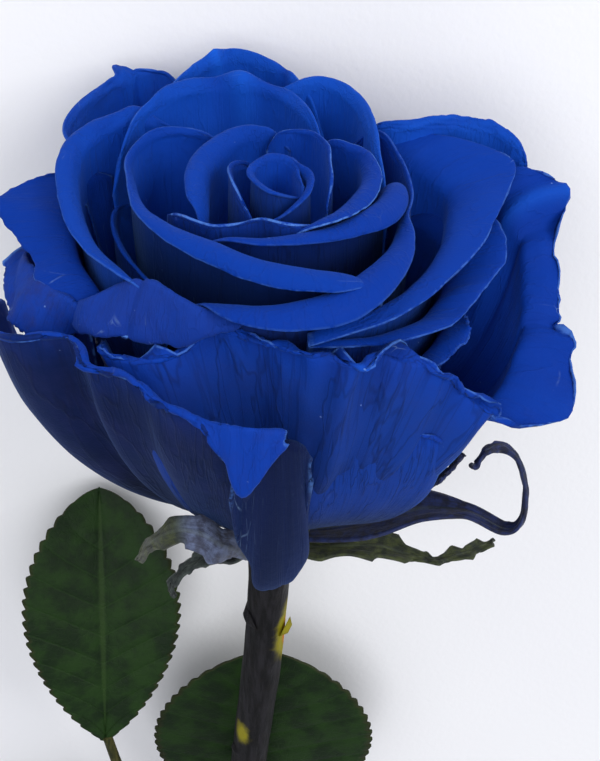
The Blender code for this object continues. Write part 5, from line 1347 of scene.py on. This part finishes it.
def leaflet_points(leaflet, u, t):
    """A serrated oval blade, folded along its midrib and arched along its length."""
    foot, tip = np.array(leaflet.foot, float), np.array(leaflet.tip, float)
    along = tip - foot
    side = np.array(leaflet.side, float)
    side = unit(side - along * (side @ along) / (along @ along))
    face = unit(np.cross(unit(along), side))
    face = face * (-1 if face[1] > 0 else 1)
    off = 2 * u - 1
    edge = np.abs(off)
    step = (t * TEETH) % 1
    saw = step**0.8 * np.clip((1 - step) / TOOTH_FRONT, 0, 1)
    tooth = (saw - 0.4) * TOOTH_DEPTH * np.minimum(1, 9 * t * (1 - t))
    half = np.maximum(leaflet_outline(t) * leaflet.width / 2 + tooth * edge**6, 0.15)
    vein = np.abs(((t - VEIN_SLANT * edge) * SIDE_VEINS) % 1 - 0.5) * 2
    bulge = (1 - vein**6) * np.minimum(1, 4 * edge) * (1 - edge**4) * np.minimum(1, 5 * (1 - t)) * QUILTING
    lift = edge**1.5 * leaflet.fold * leaflet_outline(t) + np.sin(math.pi * t) * leaflet.droop + bulge
    lift = lift - MIDRIB_GROOVE * np.exp(-(edge / GROOVE_WIDTH)**2)
    return foot + along * t[:, None] + side * (off * half)[:, None] + face * lift[:, None]


print("a leaflet has", 2 * TEETH, "teeth and", 2 * SIDE_VEINS, "side veins")

# %% Finish of the leaves
def leaf_finish():
    """A dark waxy blade with a paler midrib and side veins, a fine net between them and a dry margin."""
    finish = Finish("Preserved leaf", Specular_IOR_Level=0.12)
    place = finish.place()
    u, t = finish.shares()
    edge = u.distance(0.5) * 2
    midrib = 1 - edge.rise(0.015, 0.06)
    vein_count = (t - edge * VEIN_SLANT) * SIDE_VEINS
    slanted = finish.node("ShaderNodeMath", {"operation": "FRACT"}, vein_count)
    side_vein = (1 - (1 - slanted.distance(0.5) * 2).rise(0.03, 0.14)) * (1 - t.rise(0.78, 0.92))
    net = finish.node("ShaderNodeTexVoronoi", {"feature": "DISTANCE_TO_EDGE"}, Vector=place, Scale=800.0)
    net_vein = 1 - net.rise(0.02, 0.09)
    mottle = finish.noise(place, 220.0, 4.0, 0.6)
    grain = finish.noise(place, 3000.0, 2.0)
    colour = finish.coats(
        paint(15, 32, 12),
        (mottle.rise(0.36, 0.64), paint(27, 50, 17)),
        (net_vein * 0.1, paint(34, 56, 24)),
        (side_vein * 0.3, paint(34, 58, 24)),
        (midrib * 0.5, paint(44, 66, 28)),
        (edge.rise(0.93, 1.0) * 0.4, paint(58, 52, 34)))
    height = net_vein * -0.08 + mottle * 0.3 + grain * 0.15 - side_vein * 0.2
    return finish.finished(colour, 0.42 + mottle * 0.2, height, 0.0003)


preserved_leaf = leaf_finish()
print("finish:", preserved_leaf.name)

# %% Build the leaves
def add_stalk(bm, path, first_radius, last_radius):
    """A thin round stalk along a smooth path: a grid rolled into a tube."""
    made, u, t = add_grid(bm, STALK_SIDES, STALK_ROWS * len(path))
    radius = first_radius + (last_radius - first_radius) * t**0.5
    put(bm, made, tube_points(path, radius, u, t))
    bmesh.ops.remove_doubles(bm, verts=made, dist=WELD)


def build_leaf(leaf):
    """Two pieces that stand for one leaf: its blades, and its stalks with closed ends."""
    bm = new_mesh()
    for leaflet in leaf.leaflets:
        made, u, t = add_grid(bm, *LEAF_GRID)
        put(bm, made, leaflet_points(leaflet, u, t))
    blades = new_piece(leaf.name + "_blades", bm, preserved_leaf, leaf.name)
    thicken(blades, LEAF_SHEET)
    bm = new_mesh()
    add_stalk(bm, leaf.rachis, RACHIS_RADIUS * RACHIS_FOOT, RACHIS_RADIUS)
    for stalk in leaf.stalks:
        add_stalk(bm, stalk, RACHIS_RADIUS, RACHIS_RADIUS)
    bmesh.ops.holes_fill(bm, edges=[edge for edge in bm.edges if edge.is_boundary])
    bmesh.ops.recalc_face_normals(bm, faces=bm.faces)
    new_piece(leaf.name + "_stalks", bm, green_stalk, leaf.name)


for leaf in LEAVES:
    build_leaf(leaf)

# %% [markdown]
# ## Floor, light and camera
#
# The rose lies on a plain pale floor in soft studio light. The photograph looks at the bloom from above and
# in front. Laid down, that camera looks down on it. It is placed in the flower's own frame and laid down
# with it, so the view stays the photograph's.

# %% Floor
def floor_finish():
    """A pale matt floor with the faintest cloud and grain."""
    finish = Finish("Pale floor", Specular_IOR_Level=0.2)
    place = finish.place()
    cloud = finish.noise(place, 6.0, 3.0)
    grain = finish.noise(place, 900.0, 2.0)
    colour = finish.blend(cloud.rise(0.3, 0.7), paint(232, 232, 236), paint(238, 238, 240))
    return finish.finished(colour, 0.75 + grain * 0.1, grain, 0.00005)


FLOOR_HALF = 3           # metres from its middle to each side

bm = bmesh.new()
bmesh.ops.create_grid(bm, x_segments=2, y_segments=2, size=FLOOR_HALF)
floor_mesh = bpy.data.meshes.new("floor")
bm.to_mesh(floor_mesh)
bm.free()
floor_mesh.materials.append(floor_finish())
floor = bpy.data.objects.new("floor", floor_mesh)
bpy.context.scene.collection.objects.link(floor)
print("floor is", round(floor.dimensions.x, 1), "m wide")

# %% Camera
CAMERA_PLACE = (0.0, -129.4, 136.0)      # in the flower's frame, mm
CAMERA_DOWN = math.radians(40.563)
CAMERA_ASIDE = math.radians(1.567)
CAMERA_ROLL = math.radians(2.0)
PICTURE_WIDTH = 600                      # pixels
CAMERA_LENS = 1288                       # focal length in the same pixels
CAMERA_ANGLE = 2 * math.atan(PICTURE_WIDTH / 2 / CAMERA_LENS)

flat = math.cos(CAMERA_DOWN)
ahead = Vector((math.sin(CAMERA_ASIDE) * flat, math.cos(CAMERA_ASIDE) * flat, -math.sin(CAMERA_DOWN)))
level = ahead.cross(Vector((0, 0, 1))).normalized()
upward = level.cross(ahead)
right = level * math.cos(CAMERA_ROLL) + upward * math.sin(CAMERA_ROLL)
upward = upward * math.cos(CAMERA_ROLL) - level * math.sin(CAMERA_ROLL)
aim = LAID_TURN @ Matrix((right, upward, -ahead)).transposed()

lens = bpy.data.cameras.new("camera")
lens.sensor_fit = "HORIZONTAL"
lens.angle = CAMERA_ANGLE
lens.clip_start = 0.01
camera = bpy.data.objects.new("camera", lens)
camera.matrix_world = Matrix.Translation(laid_down([CAMERA_PLACE])[0]) @ aim.to_4x4()
bpy.context.scene.collection.objects.link(camera)
bpy.context.scene.camera = camera
print("camera looks down at", round(math.degrees(math.asin(-(aim @ Vector((0, 0, -1))).z))), "degrees")

# %% Light
def soft_light(name, place, target, size, power, tint):
    """A square softbox. place and target are in the world, in metres."""
    lamp = bpy.data.lights.new(name, "AREA")
    lamp.size = size
    lamp.energy = power
    lamp.color = tint
    made = bpy.data.objects.new(name, lamp)
    made.location = place
    made.rotation_euler = (Vector(target) - Vector(place)).to_track_quat("-Z", "Y").to_euler()
    bpy.context.scene.collection.objects.link(made)


BLOOM = (-0.01, -0.1, 0.03)
soft_light("key", (-0.6, -0.5, 0.5), BLOOM, 0.5, 3.6, (1.0, 0.99, 0.97))
soft_light("top", (0.05, -0.3, 1.0), BLOOM, 0.8, 4.6, (0.97, 0.98, 1.0))
soft_light("fill", (0.45, -0.8, 0.5), BLOOM, 0.8, 2.2, (0.97, 0.98, 1.0))
world = bpy.data.worlds.new("studio")
bpy.context.scene.world = world
world.use_nodes = True
background = world.node_tree.nodes["Background"].inputs
background["Color"].default_value = (0.92, 0.94, 1.0, 1.0)
background["Strength"].default_value = 0.52
print("lamps:", [lamp.name for lamp in bpy.data.lights])
bpy.context.scene.view_settings.view_transform = "Standard"

# %% [markdown]
